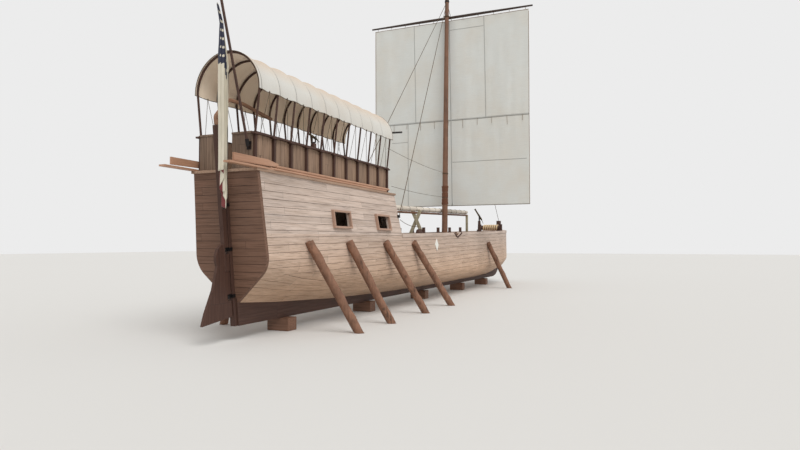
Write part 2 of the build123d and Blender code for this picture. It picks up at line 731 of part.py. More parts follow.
def mast_radius(along):
    """Mast radius at a distance from the heel."""
    length = (MAST_TOP - FLOOR_TOP) / cos(radians(MAST_RAKE))
    return MAST_FOOT_R + (MAST_TOP_R - MAST_FOOT_R) * (along + 60) / (length + 60)


def rig():
    """Mast, stays, yard with its parrel and halyard, and the square sail."""
    mast = mast_solid(0) - box(MAST_X - 500, MAST_X + 500, -500, 500, 0, FLOOR_TOP)
    parts["mast"] = mast
    step = box(MAST_X - STEP_SIZE / 2, MAST_X + STEP_SIZE / 2, -STEP_SIZE / 2, STEP_SIZE / 2,
               FLOOR_TOP, FLOOR_TOP + STEP_HEIGHT)
    parts["mast_step"] = step - mast_solid(FIT)

    low, high = mast_place(WOOLD_Z[0]), mast_place(WOOLD_Z[1])
    outline = Polyline((mast_radius(low) + FIT, low), (mast_radius(low) + WOOLD_THICK, low),
                       (mast_radius(high) + WOOLD_THICK, high), (mast_radius(high) + FIT, high), close=True)
    parts["mast_woolding"] = masted(revolve(Plane.XZ * make_face(outline.edges()), Axis.Z))

    # Stays run from an iron band near the masthead to the cabin's front corners and to the stem
    band_z = mast_place(STAY_Z)
    band_r = mast_radius(band_z)
    band = Cylinder(band_r + 10, 50) - Cylinder(band_r + FIT, 60)
    band = masted(Pos(0, 0, band_z) * band)
    hub = masted(Pos(0, 0, band_z) * Sphere(1)).center()
    eye_z = 2050
    eye_y = side_y(CABIN_FRONT - 30, eye_z) + 30
    eyes = []
    stays = []
    for sign in (1, -1):
        end = (CABIN_FRONT - 30, sign * eye_y, eye_z)
        away = Vector(*end) - Vector(hub.X, hub.Y, hub.Z)
        away = away.normalized()
        start = Vector(hub.X, hub.Y, hub.Z) + away * 40
        stays.append(rod((start.X, start.Y, start.Z), end, STAY_R))
        eyes.append(box(CABIN_FRONT - 60, CABIN_FRONT, sign * eye_y - 36 if sign > 0 else -eye_y - 14,
                        eye_y + 14 if sign > 0 else -eye_y + 36, eye_z - 30, eye_z + 30))
    stem_end = (16665, 0, 2400)
    fore = Vector(*stem_end) - Vector(hub.X, hub.Y, hub.Z)
    fore_start = Vector(hub.X, hub.Y, hub.Z) + fore.normalized() * 40
    stays.append(rod((fore_start.X, fore_start.Y, fore_start.Z), stem_end, STAY_R))
    solids = group([mast, band, parts["stem"]])
    parts["stays"] = group([largest(stay - solids) for stay in stays])
    outside = cabin_volume(-FIT)
    eyes = [(eye - outside) - parts["stays"] for eye in eyes]
    parts["stay_irons"] = group([band] + eyes)

    # The yard hangs level just ahead of the mast and turns round the mast with the parrel
    yard_at = mast_place(YARD_Z)
    yard_x = mast_radius(yard_at) + YARD_CLEAR + YARD_MID_R
    half = YARD_LENGTH / 2
    outline = Polyline((0, -half), (YARD_END_R, -half), (YARD_MID_R, -half * 0.3), (YARD_MID_R, half * 0.3),
                       (YARD_END_R, half), (0, half), close=True)
    spar = Rot(90, 0, 0) * revolve(Plane.XZ * make_face(outline.edges()), Axis.Z)
    parts["yard"] = masted(Pos(yard_x, 0, yard_at) * spar)
    ring_r = mast_radius(yard_at) + PARREL_R + FIT
    ring = Pos(0, 0, yard_at) * Torus(ring_r, PARREL_R)
    ropes = [masted(ring) - parts["yard"]]
    lift = mast_place(HALYARD_TOP)
    tackle = rod((yard_x, 0, yard_at + YARD_MID_R - 8), (yard_x - 30, 0, lift), HALYARD_R)
    ropes.append(masted(tackle) - parts["yard"])

    # The sail hangs plumb under the yard
    yard_centre = masted(Pos(yard_x, 0, yard_at) * Sphere(1)).center()
    sail_x = yard_centre.X
    head_z = yard_centre.Z - YARD_MID_R - SAIL_DROP
    corners = [(-SAIL_HEAD_HALF, head_z), (SAIL_HEAD_HALF, head_z), (SAIL_FOOT_HALF, SAIL_FOOT_Z),
               (-SAIL_FOOT_HALF, SAIL_FOOT_Z)]
    cloth = make_face(Polyline(*corners, close=True).edges())
    plane = Plane(origin=(sail_x - SAIL_THICK / 2, 0, 0), x_dir=(0, 1, 0), z_dir=(1, 0, 0))
    parts["sail"] = plane * extrude(cloth, SAIL_THICK)
    # Robands tie the head of the sail to the yard
    for i in range(-5, 6):
        y = SAIL_HEAD_HALF * i / 5.2
        ropes.append(rod((sail_x, y, head_z + FIT), (sail_x, y, yard_centre.Z), 6) - parts["yard"])
    parts["yard_ropes"] = group(ropes)


def awning():
    """Ridge pole past the mast with the furled awning on it, held by a bracket, a crutch and a post."""
    slope = (POLE_FRONT_Z - POLE_AFT_Z) / (POLE_FRONT_X - CABIN_FRONT)
    start = (CABIN_FRONT + FIT, POLE_Y, POLE_AFT_Z)
    end = (POLE_FRONT_X, POLE_Y, POLE_FRONT_Z)
    pole = rod(start, end, POLE_R) - box(CABIN_FRONT - 100, CABIN_FRONT + FIT, 0, 500, 2000, 2500)
    parts["ridge_pole"] = pole
    lift = POLE_R + AWNING_R + FIT
    ends = [(x, POLE_Y, POLE_AFT_Z + slope * (x - CABIN_FRONT) + lift) for x in (AWNING_AFT_X, AWNING_FRONT_X)]
    parts["furled_awning"] = rod(ends[0], ends[1], AWNING_R)

    saddle_z = POLE_AFT_Z - POLE_R - 30
    saddle = box(CABIN_FRONT, CABIN_FRONT + 70, POLE_Y - 50, POLE_Y + 50, saddle_z, POLE_AFT_Z)
    parts["cabin_front"] += saddle - rod(start, end, POLE_R + FIT)

    post_x = POLE_FRONT_X - 60
    post = box(post_x - CRUTCH / 2, post_x + CRUTCH / 2, POLE_Y - CRUTCH / 2, POLE_Y + CRUTCH / 2,
               BOW_DECK_Z, POLE_FRONT_Z + 10)
    post -= rod(start, (end[0] + 200, end[1], end[2] + slope * 200), POLE_R + FIT)
    post -= box(post_x - 100, post_x + 100, POLE_Y - POLE_R - FIT, POLE_Y + POLE_R + FIT, POLE_FRONT_Z, 3000)

    # Two crossed boards stand on a thwart and carry the pole behind the mast
    foot_z = THWART_Z + THWART_THICK
    pole_z = POLE_AFT_Z + slope * (CRUTCH_X - CABIN_FRONT)
    legs = []
    for sign in (1, -1):
        beside = CRUTCH_X + sign * (CRUTCH_THICK / 2 + FIT)
        foot = Vector(beside, POLE_Y + sign * CRUTCH_SPREAD, foot_z)
        tip = Vector(beside, POLE_Y - sign * CRUTCH_TIP, pole_z + 70)
        along = (tip - foot).normalized()
        plane = Plane(origin=foot - along * 100, x_dir=(1, 0, 0), z_dir=along)
        leg = plane * extrude(Rectangle(CRUTCH_THICK, CRUTCH_BOARD), (tip - foot).length + 100)
        legs.append(leg - box(CRUTCH_X - 100, CRUTCH_X + 100, -1500, 1500, foot_z - 300, foot_z))
    room = rod(start, end, POLE_R + FIT) + rod(ends[0], ends[1], AWNING_R + FIT)
    parts["pole_supports"] = group([post] + [largest(leg - room) for leg in legs])


def sweeps():
    """Two long oars on each deck edge, one on top of the other, blades aft."""
    oars = []
    for i, aft in enumerate(SWEEP_AFT):
        lean = SWEEP_Y - 8 * (1 - i)
        z = DECK_Z + FIT + SWEEP_R + (1 - i) * (2 * SWEEP_R - 0.4)
        shaft = rod((aft + SWEEP_BLADE_LENGTH - 60, lean, z), (aft + SWEEP_LENGTH, lean, z), SWEEP_R)
        height, thick = SWEEP_BLADE_HEIGHT, SWEEP_BLADE_THICK
        outline = Polyline((aft, -height * 0.42), (aft, height * 0.5), (aft + SWEEP_BLADE_LENGTH * 0.75, height * 0.5),
                           (aft + SWEEP_BLADE_LENGTH, SWEEP_R), (aft + SWEEP_BLADE_LENGTH, -SWEEP_R),
                           (aft + SWEEP_BLADE_LENGTH * 0.75, -height * 0.3), close=True)
        if i == 0:
            blade = extrude(Plane.XZ * make_face(outline.edges()), thick / 2, both=True)
            blade = Pos(0, lean, z + 24) * blade
        else:
            blade = extrude(Plane.XY * make_face(outline.edges()), thick / 2, both=True)
            blade = Pos(0, lean, z - SWEEP_R + thick / 2) * blade
        oars.append(shaft + blade)
    parts["sweeps_port"], parts["sweeps_starboard"] = port_and_starboard(group(oars))


def flag():
    """Flagstaff in a socket on the starboard stern corner, leaning aft, with the flag hanging limp."""
    lean = tan(radians(STAFF_LEAN))
    back = HOOP_X - POST / 2 - FIT - BOARD_THICK
    foot_x = back - STAFF_R - SOCKET_WALL - 6
    start = (foot_x, -STAFF_Y, STAFF_FOOT_Z)
    tip = (foot_x - lean * (STAFF_TOP_Z - STAFF_FOOT_Z), -STAFF_Y, STAFF_TOP_Z)
    staff = rod(start, tip, STAFF_R)
    knob = Pos(*tip) * Sphere(STAFF_R * 1.6)
    parts["flagstaff"] = staff + knob
    seat = Vector(*start)
    way = (Vector(*tip) - seat).normalized()
    base = seat - way * 20
    high = seat + way * 90
    cup = rod((base.X, base.Y, base.Z), (high.X, high.Y, high.Z), STAFF_R + SOCKET_WALL)
    cup -= rod(start, tip, STAFF_R + FIT)
    plate = box(back - 6, back, -STAFF_Y - 40, -STAFF_Y + 40, STAFF_FOOT_Z - 60, STAFF_FOOT_Z + 60)
    web = box(foot_x, back, -STAFF_Y - 8, -STAFF_Y + 8, STAFF_FOOT_Z - 40, STAFF_FOOT_Z + 10)
    parts["staff_socket"] = cup + plate + (web - rod(start, tip, STAFF_R + FIT))

    # The cloth falls straight down from the staff's upper end
    def behind(z):
        """x just aft of the staff at a height."""
        return foot_x - lean * (z - STAFF_FOOT_Z) - (STAFF_R + FIT) / cos(radians(STAFF_LEAN))

    top = behind(FLAG_TOP_Z)
    front = top + 80
    meet_z = FLAG_TOP_Z - 80 / lean
    outline = Polyline((top, FLAG_TOP_Z), (front, meet_z), (front + 25, FLAG_TIP_Z + 500), (front + 10, FLAG_TIP_Z),
                       (front - 40, FLAG_TIP_Z), (top - 75, FLAG_TIP_Z + 420), (top - 75, FLAG_TOP_Z - 350), close=True)
    cloth = extrude(Plane.XZ * make_face(outline.edges()), FLAG_HALF, both=True)
    parts["flag"] = Pos(0, -STAFF_Y, 0) * cloth


def swivel_gun(scale):
    """Fork and barrel of a small swivel gun at the origin, the barrel level along +X."""
    barrel_r = 34 * scale
    gap = barrel_r + SIDE_CLEAR
    height = GUN_HEIGHT * scale
    shoulder = Pos(0, 0, 6) * Cylinder(YOKE_PIN_R * 2.4, 12)
    pin = Pos(0, 0, -40) * Cylinder(YOKE_PIN_R, 80)
    bridge = box(-14, 14, -gap - YOKE_ARM, gap + YOKE_ARM, 12, 26)
    fork = shoulder + pin + bridge
    for sign in (1, -1):
        low, high = sorted((sign * gap, sign * (gap + YOKE_ARM)))
        arm = box(-14, 14, low, high, 12, height)
        eye = Pos(0, (low + high) / 2, height) * Rot(90, 0, 0) * Cylinder(18, YOKE_ARM)
        fork += arm + eye
    fork -= Pos(0, 0, height) * Rot(90, 0, 0) * Cylinder(TRUNNION_R + RUNNING, 400)

    muzzle, breech = 300 * scale, -150 * scale
    outline = Polyline((muzzle, 0), (muzzle, barrel_r), (muzzle - 22 * scale, barrel_r),
                       (muzzle - 40 * scale, barrel_r * 0.72), (60 * scale, barrel_r * 0.86),
                       (60 * scale, barrel_r * 0.98), (40 * scale, barrel_r * 0.98), (40 * scale, barrel_r * 0.9),
                       (breech + 40 * scale, barrel_r), (breech, barrel_r * 0.75), (breech - 30 * scale, 14 * scale),
                       (breech - 50 * scale, 9), (breech - 60 * scale, 0), close=True)
    barrel = revolve(Plane.XZ * make_face(outline.edges()), Axis.X)
    barrel -= Pos(muzzle - 150 * scale, 0, 0) * Rot(0, 90, 0) * Cylinder(15 * scale, 301 * scale)
    barrel += Rot(90, 0, 0) * Cylinder(TRUNNION_R, 2 * (gap + YOKE_ARM))
    barrel += rod((breech - 40 * scale, 0, 0), (breech - GUN_HANDLE * scale, 0, -24 * scale), 8)
    return fork, barrel, height


def guns():
    """A swivel gun on a post at the bow, and a smaller one on the starboard rail."""
    outline = Polyline((0, 0), (GUN_POST_R * 1.5, 0), (GUN_POST_R * 1.5, 60), (GUN_POST_R, 200),
                       (GUN_POST_R * 0.75, GUN_POST_TOP - BOW_DECK_Z), (0, GUN_POST_TOP - BOW_DECK_Z), close=True)
    post = revolve(Plane.XZ * make_face(outline.edges()), Axis.Z)
    post -= Pos(0, 0, GUN_POST_TOP - BOW_DECK_Z) * Cylinder(YOKE_PIN_R + RUNNING, 180)
    parts["gun_post"] = Pos(GUN_BOW_X, 0, BOW_DECK_Z) * post

    gun_rail_y = HOOP_HALF + POST / 2 + 8 - RAIL_WIDTH / 2
    places = [
        ("bow", 1.0, GUN_BOW_X, 0, GUN_POST_TOP, GUN_BOW_YAW, GUN_BOW_RISE),
        ("stern", 0.62, HOOP_X + HOOP_PITCH * 3.5, -gun_rail_y, RAIL_Z + GUN_PAD, GUN_STERN_YAW, GUN_STERN_RISE),
    ]
    for name, scale, x, y, z, yaw, rise in places:
        fork, barrel, height = swivel_gun(scale)
        turn = Pos(x, y, z + FIT) * Rot(0, 0, yaw)
        parts["gun_fork_" + name] = turn * fork
        parts["gun_barrel_" + name] = turn * Pos(0, 0, height) * Rot(0, -rise, 0) * barrel
    x, y = places[1][2], places[1][3]
    # The smaller gun's chock is a block of its own that stands on the rail
    pad = box(x - 40, x + 40, y - 26, y + 26, RAIL_Z, RAIL_Z + GUN_PAD)
    hole = Pos(x, y, RAIL_Z) * Cylinder(YOKE_PIN_R + RUNNING, 200)
    parts["bulwark_posts_starboard"] = group([parts["bulwark_posts_starboard"] - hole, pad - hole])


def deck_gear():
    """Windlass with its rope, mooring post, belaying knob and the plain plaques."""
    bitts = []
    for sign in (1, -1):
        y = sign * (WINDLASS_HALF + BITT_SIZE / 2)
        bitt = box(WINDLASS_X - BITT_SIZE / 2, WINDLASS_X + BITT_SIZE / 2, y - BITT_SIZE / 2, y + BITT_SIZE / 2,
                   BOW_DECK_Z, BOW_DECK_Z + BITT_HEIGHT)
        bitts.append(bitt)
    drum = Pos(WINDLASS_X, 0, WINDLASS_Z) * Rot(90, 0, 0) * Cylinder(WINDLASS_R, 2 * WINDLASS_HALF - 2 * FIT)
    parts["windlass_drum"] = drum
    wrap_half = WINDLASS_HALF - 40
    wrap = Pos(WINDLASS_X, 0, WINDLASS_Z) * Rot(90, 0, 0) * (
        Cylinder(ROPE_WRAP_R, 2 * wrap_half) - Cylinder(WINDLASS_R + FIT, 2 * wrap_half + 10))
    parts["windlass_rope"] = wrap

    # The mooring post stands beside the forestay and has a plain crown, so that a rope's eye drops over it
    outline = Polyline((0, 0), (MOORING_R, 0), (MOORING_R, MOORING_HEIGHT), (MOORING_R * 0.6, MOORING_HEIGHT + 14),
                       (0, MOORING_HEIGHT + 18), close=True)
    bitt = revolve(Plane.XZ * make_face(outline.edges()), Axis.Z)
    bitts.append(Pos(MOORING_X, MOORING_Y, BOW_DECK_Z) * bitt)

    section = section_at(KNOB_X)
    y = -(section[1] - CAP_WIDTH / 2)
    low = section[2] + CAP_THICK
    dome = Sphere(KNOB_R) & box(-200, 200, -50, 50, 0, 200)
    bitts.append((Pos(KNOB_X, y, low - 6) * dome) - parts["gunwale_starboard"])
    parts["bitts"] = group(bitts)

    plaques = []
    y0 = side_y(PLAQUE_X, PLAQUE_Z)
    outline = Polyline((PLAQUE_X - PLAQUE_HALF_WIDTH, PLAQUE_Z), (PLAQUE_X, PLAQUE_Z + PLAQUE_HALF_HEIGHT),
                       (PLAQUE_X + PLAQUE_HALF_WIDTH, PLAQUE_Z), (PLAQUE_X, PLAQUE_Z - PLAQUE_HALF_HEIGHT), close=True)
    prism = Pos(0, y0 + 200, 0) * extrude(Plane.XZ * make_face(outline.edges()), 400)
    skin = shell(SECTIONS[3:5], -PLAQUE_THICK, -FIT)
    parts["plaques"] = group(port_and_starboard(skin & prism))


def supports():
    """Log shores under the turn of the side and blocks under the keel."""
    outside = hull_volume(SECTIONS, -FIT)
    logs = []
    for top_x, foot_x in SHORES:
        top_y = side_y(top_x, SHORE_TOP_Z) + SHORE_R * 0.55
        way = Vector(top_x - foot_x, top_y - SHORE_FOOT_Y, SHORE_TOP_Z).normalized()
        start = Vector(foot_x, SHORE_FOOT_Y, 0) - way * 200
        end = Vector(top_x, top_y, SHORE_TOP_Z) + way * 40
        log = rod((start.X, start.Y, start.Z), (end.X, end.Y, end.Z), SHORE_R)
        log -= box(-3000, 20000, -4000, 4000, -2000, 0)
        logs.append(largest(log - outside))
    port = group(logs)
    parts["shores_port"], parts["shores_starboard"] = port_and_starboard(port)
    blocks = [box(x - BLOCK_LENGTH / 2, x + BLOCK_LENGTH / 2, -BLOCK_WIDTH / 2, BLOCK_WIDTH / 2, 0, KEEL_BOTTOM)
              for x in BLOCK_X]
    parts["keel_blocks"] = group(blocks)


def main():
    hull()
    gunwales()
    cabin()
    bulwarks()
    steering()
    rig()
    awning()
    sweeps()
    flag()
    guns()
    deck_gear()
    supports()
    whole = Compound(children=[solid for shape in parts.values() for solid in shape.solids()]).bounding_box()
    middle = (whole.min.X + whole.max.X) / 2
    os.makedirs("parts", exist_ok=True)
    for name, shape in parts.items():
        export_step(Pos(-middle, 0, 0) * shape, "parts/" + name + ".step")
    print("nodes", len(parts), "middle", round(middle, 2), "size", whole.size)


main()
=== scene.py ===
"""A river keelboat on log shores, dressed with its planking, cloth, rope and ironwork, in a plain studio."""

import json
from math import atan2, cos, hypot, pi, radians, sin, tan

import bpy
import numpy as np
from bpy.props import FloatProperty, FloatVectorProperty, PointerProperty
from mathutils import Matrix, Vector, noise
from mathutils.bvhtree import BVHTree


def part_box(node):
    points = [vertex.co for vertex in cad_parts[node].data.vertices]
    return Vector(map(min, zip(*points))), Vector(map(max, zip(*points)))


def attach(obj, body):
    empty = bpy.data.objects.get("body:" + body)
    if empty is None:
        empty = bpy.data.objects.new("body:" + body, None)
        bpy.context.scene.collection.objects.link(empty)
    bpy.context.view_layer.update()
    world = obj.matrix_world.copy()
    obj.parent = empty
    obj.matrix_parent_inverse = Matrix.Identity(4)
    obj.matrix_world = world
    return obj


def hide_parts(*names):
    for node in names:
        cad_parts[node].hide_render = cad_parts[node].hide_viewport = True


bl_info = {
    "name": "River keelboat",
    "version": (1, 0, 0),
    "blender": (4, 5, 0),
    "location": "3D View > Sidebar > Keelboat",
    "description": "Dresses a packed river keelboat with planking, cloth, rope, ironwork and a studio",
    "category": "Object",
}

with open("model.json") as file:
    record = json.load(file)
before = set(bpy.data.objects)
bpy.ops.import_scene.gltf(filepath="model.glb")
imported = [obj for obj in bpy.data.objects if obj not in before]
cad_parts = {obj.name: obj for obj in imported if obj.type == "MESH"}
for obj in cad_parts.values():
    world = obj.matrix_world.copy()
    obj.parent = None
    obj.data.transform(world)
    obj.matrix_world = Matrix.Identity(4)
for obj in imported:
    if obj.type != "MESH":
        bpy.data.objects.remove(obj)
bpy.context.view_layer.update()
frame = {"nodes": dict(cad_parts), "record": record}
SLOT_OF = {row["node"]: row["material_slot"] for row in frame["record"]["subparts"]}
BODY_OF = {node: body for body, nodes in frame["record"]["behaviour"]["bodies"].items() for node in nodes}
SIDES = (("port", 1), ("starboard", -1))

# The transom's deck edge, from which places along the boat are measured
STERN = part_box("canopy")[0].x - 0.02

# The hoops stand at equal distances, and each is 0.03 m broad
HOOPS = 11
HOOP_HALF = 0.015
FIRST_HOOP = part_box("canopy_hoops")[0].x + HOOP_HALF
HOOP_PITCH = (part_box("canopy_hoops")[1].x - HOOP_HALF - FIRST_HOOP) / (HOOPS - 1)

# The mast leans forward a little, so that turns of rope round it have this axis
MAST_RAKE = 0.0384
MAST_AXIS = (MAST_RAKE, 0, 1)

# The yard holds the sail's head at this spacing
ROBAND_PITCH = 0.477

# A wave texture of scale 1 repeats after this many metres
WAVE_PERIOD = 0.314


def along(x):
    """A distance forward of the transom, as x in the boat's frame."""
    return STERN + x


def mast_radius(z):
    """The mast's radius at a height: it tapers by 0.037 m over its 9.34 m."""
    return 0.092 - 0.037 * (z - 0.565) / 9.34


def card(red, green, blue):
    """A linear colour from the 0 to 255 numbers of a colour card."""
    parts = [value / 255 for value in (red, green, blue)]
    return tuple(p / 12.92 if p <= 0.04045 else ((p + 0.055) / 1.055) ** 2.4 for p in parts)


def colour(name, description, *numbers):
    """A colour that the sidebar shows."""
    return FloatVectorProperty(name=name, description=description, subtype="COLOR", size=3, min=0, max=1,
                               default=card(*numbers))


def size(name, description, default):
    """A length that the sidebar shows."""
    return FloatProperty(name=name, description=description, default=default, subtype="DISTANCE",
                         unit="LENGTH")


class PlankingSizes(bpy.types.PropertyGroup):
    """Sizes of the strakes and their seams."""
    strake: size("Strake", "Height of one plank on the sides", 0.115)
    seam: size("Seam", "Width of the gap between two planks", 0.006)
    seam_depth: size("Seam depth", "Depth of the gap between two planks", 0.007)
    deck_board: size("Deck board", "Width of one board of the decks", 0.14)
    hull_slope: FloatProperty(name="Sheer", description="Rise of the hull's seams to the bow", default=0.02)
    cabin_slope: FloatProperty(name="Cabin rise", description="Rise of the cabin's seams", default=0.006)


class ClothSizes(bpy.types.PropertyGroup):
    """Sizes of the canvas and the sail."""
    tilt_sag: size("Tilt sag", "How far the canvas dips between two hoops", 0.02)
    sail_fold: size("Sail fold", "Depth of the soft folds in the sail", 0.022)
    reef_height: size("Reef band", "Height of the reef band above the ground", 5.25)


class RopeSizes(bpy.types.PropertyGroup):
    """Radii of the cordage."""
    tie: size("Tie", "Radius of the canvas's tie cords", 0.004)
    line: size("Line", "Radius of the thin lines to the mast", 0.006)
    stay: size("Stay", "Radius of the stays", 0.008)
    reef_point: size("Reef point", "Radius of a reef point", 0.004)
    woolding: size("Woolding", "Radius of the rope bound round the mast", 0.006)


class Finishes(bpy.types.PropertyGroup):
    """Colours of the surfaces."""
    planking: colour("Planking", "Greyish pink softwood", 204, 184, 170)
    # The transom's brown is partly its own colour and partly painted shade, darker than the planking because
    # the stern is in shade.
    transom: colour("Transom", "Brown planks of the transom", 118, 86, 68)
    dark_timber: colour("Dark timber", "Tarred timber of posts and rudder", 74, 46, 34)
    boards: colour("Bulwark boards", "Streaked brown boards", 152, 124, 102)
    oak: colour("Oak", "Oiled oak of frames and seats", 150, 116, 84)
    deck: colour("Deck", "Scrubbed deck boards", 170, 140, 118)
    spar: colour("Spar", "Oiled round spars", 118, 82, 60)
    pale: colour("Pale timber", "Bare window frames", 178, 144, 124)
    log: colour("Log", "Debarked logs of the shores", 134, 97, 76)
    sweep: colour("Sweep", "Varnished ash of the sweeps", 184, 140, 112)
    canvas: colour("Canvas", "Cream cotton duck", 212, 209, 201)
    sail: colour("Sailcloth", "Grey-white sailcloth", 216, 217, 212)
    rope: colour("Rope", "Tarred hemp", 140, 112, 80)
    iron: colour("Iron", "Blackened iron", 46, 44, 44)
    bronze: colour("Gun metal", "Dull weathered bronze", 84, 72, 50)
    paint: colour("White paint", "Flat white paint", 232, 230, 222)
    floor: colour("Floor", "Pale studio floor", 214, 212, 208)


class StudioPlace(bpy.types.PropertyGroup):
    """Where the camera stands, and how strong the light is."""
    eye: FloatVectorProperty(name="Eye", description="Place of the camera", subtype="XYZ", unit="LENGTH",
                             default=(STERN - 7.09, -5.85, 1.45))
    heading: FloatProperty(name="Heading", description="Angle of view to port of the bow", subtype="ANGLE",
                           default=radians(23.177))
    rise: FloatProperty(name="Rise", description="Angle of view above the level", subtype="ANGLE",
                        default=radians(1.814))
    lens: FloatProperty(name="Lens", description="Focal length in millimetres", default=27)
    sun: FloatProperty(name="Key light", description="Strength of the soft key light", default=2.0)
    sky: FloatProperty(name="Fill light", description="Strength of the light from all round", default=0.62)


# Working on meshes

def leave_edit():
    """Go back to object mode."""
    if bpy.context.mode != "OBJECT":
        bpy.ops.object.mode_set(mode="OBJECT")


def take(*pieces):
    """Make these pieces the only ones selected, and the first of them active."""
    leave_edit()
    bpy.ops.object.select_all(action="DESELECT")
    for piece in pieces:
        piece.select_set(True)
    bpy.context.view_layer.objects.active = pieces[0] if pieces else None


def edit(piece, action="DESELECT"):
    """Open a piece for editing faces, with nothing selected or with all."""
    take(piece)
    bpy.ops.object.mode_set(mode="EDIT")
    bpy.ops.mesh.select_mode(type="FACE")
    bpy.ops.mesh.select_all(action=action)


def pick_faces(piece, test):
    """Open a piece for editing with the faces selected that a test of centre and normal accepts."""
    edit(piece)
    leave_edit()
    for face in piece.data.polygons:
        face.select = bool(test(face.center, face.normal))
    bpy.ops.object.mode_set(mode="EDIT")


def apply_transform():
    """Take the place, turn and scale of the selected piece into its mesh."""
    bpy.ops.object.transform_apply(location=True, rotation=True, scale=True)


def modify(piece, kind, **settings):
    """Add one modifier and apply it."""
    take(piece)
    modifier = piece.modifiers.new(kind.title(), kind)
    for key, value in settings.items():
        setattr(modifier, key, value)
    bpy.ops.object.modifier_apply(modifier=modifier.name)


def thicken(piece, thickness, **settings):
    """Give a cloth its thickness, half of it to each side."""
    modify(piece, "SOLIDIFY", thickness=thickness, offset=0, **settings)


def smooth(piece, angle=35):
    """Round the shading and keep the corners."""
    take(piece)
    bpy.ops.object.shade_smooth_by_angle(angle=radians(angle))


def ease(piece, width):
    """Take the sharpness off a timber's edges and keep its flat faces flat."""
    modify(piece, "BEVEL", width=width, segments=2, limit_method="ANGLE", angle_limit=radians(40),
           harden_normals=False)
    smooth(piece)
    modify(piece, "WEIGHTED_NORMAL", weight=50, keep_sharp=True)


def paint(piece, *finishes):
    """Give a piece its finishes, by name."""
    piece.data.materials.clear()
    for finish in finishes:
        piece.data.materials.append(FINISH[finish])


def fit(piece, name, body, replaces=()):
    """Name a finished piece, fix it to its body and hide the CAD nodes that it replaces."""
    take(piece)
    apply_transform()
    piece.name = name
    piece.data.name = name
    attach(piece, body)
    if replaces:
        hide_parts(*replaces)
    return piece


def join(pieces):
    """Make several pieces one."""
    take(*pieces)
    if len(pieces) > 1:
        bpy.ops.object.join()
    return pieces[0]


def fit_all(pieces, finish, name, body="hull", replaces=()):
    """Make several pieces of one finish into one finished piece, by default a rope on the hull."""
    piece = join(pieces)
    paint(piece, finish)
    return fit(piece, name, body, replaces)


def mesh_object(name, mesh):
    """An object in the scene for a mesh."""
    piece = bpy.data.objects.new(name, mesh)
    bpy.context.scene.collection.objects.link(piece)
    return piece


def block(place, lengths, pitch):
    """A box with its length, breadth and height, and with its fore end pitched up."""
    take()
    bpy.ops.mesh.primitive_cube_add(size=1, location=place)
    piece = bpy.context.object
    piece.scale = lengths
    piece.rotation_euler = (0, -pitch, 0)
    apply_transform()
    return piece


def butting_faces(mesh):
    """The numbers of the faces that lie against the next length of a plank."""
    touching, facing, much_larger = 0.00005, -0.99, 4
    faces = mesh.polygons
    near = BVHTree.FromPolygons([v.co for v in mesh.vertices], [face.vertices for face in faces])
    butts = set()
    for face in faces:
        for _, normal, index, _ in near.find_nearest_range(face.center, touching):
            if normal.dot(face.normal) < facing and face.area < much_larger * faces[index].area:
                butts.add(face.index)
    return butts


def copy_of(node):
    """A clean copy of a CAD node, with no faces left where the lengths of its planks butt."""
    same_point, same_plane = 0.00002, radians(0.02)
    mesh = frame["nodes"][node].data.copy()
    piece = mesh_object(node + "_made", mesh)
    butts = butting_faces(mesh) if node.startswith(("hull_planking", "gunwale")) else ()
    edit(piece)
    leave_edit()
    for index in butts:
        mesh.polygons[index].select = True
    bpy.ops.object.mode_set(mode="EDIT")
    bpy.ops.mesh.delete(type="FACE")
    bpy.ops.mesh.select_all(action="SELECT")
    bpy.ops.mesh.remove_doubles(threshold=same_point)
    bpy.ops.mesh.customdata_custom_splitnormals_clear()
    bpy.ops.mesh.dissolve_limited(angle_limit=same_plane)
    modify(piece, "TRIANGULATE", min_vertices=5)
    return piece


def cut_seams(piece, cuts, width, depth, shows):
    """Sink a narrow groove along each plane, in the faces that show, and finish its bottom dark."""
    edit(piece)
    planes = []
    for point, normal in cuts:
        normal = Vector(normal).normalized()
        planes.append((Vector(point), normal))
        for side in (-0.5, 0.5):
            bpy.ops.mesh.select_all(action="SELECT")
            bpy.ops.mesh.bisect(plane_co=Vector(point) + normal * width * side, plane_no=normal)

    def in_groove(centre, normal):
        return shows(centre, normal) and any(abs((centre - p).dot(n)) < width * 0.5 for p, n in planes)

    pick_faces(piece, in_groove)
    if any(face.select for face in piece.data.polygons):
        bpy.ops.mesh.extrude_region_shrink_fatten(TRANSFORM_OT_shrink_fatten={"value": -depth})
        piece.active_material_index = 1
        bpy.ops.object.material_slot_assign()
    leave_edit()


# Cloth and rope, made as rows of points

def surface(name, rows, closed=False):
    """A mesh through rows of points, with a map of its surface in metres."""
    rows = np.asarray(rows, float)
    down, across = rows.shape[:2]
    step = np.linalg.norm(np.diff(rows, axis=0), axis=2).mean(axis=1)
    side = np.linalg.norm(np.diff(rows, axis=1), axis=2).mean(axis=0)
    v = np.concatenate([[0], np.cumsum(step)])
    u = np.concatenate([[0], np.cumsum(side)])
    wrap = across if closed else across - 1
    if closed:
        u = np.append(u, u[-1] + np.linalg.norm(rows[:, 0] - rows[:, -1], axis=1).mean())
    faces = []
    places = []
    for i in range(down - 1):
        for j in range(wrap):
            k = (j + 1) % across
            faces.append((i * across + j, i * across + k, (i + 1) * across + k, (i + 1) * across + j))
            places.append(((u[j], v[i]), (u[j + 1], v[i]), (u[j + 1], v[i + 1]), (u[j], v[i + 1])))
    mesh = bpy.data.meshes.new(name)
    mesh.from_pydata(rows.reshape(-1, 3).tolist(), [], faces)
    uv = mesh.uv_layers.new(name="Cloth")
    uv.data.foreach_set("uv", np.asarray(places, float).ravel())
    mesh.update()
    for face in mesh.polygons:
        face.use_smooth = True
    return mesh_object(name, mesh)


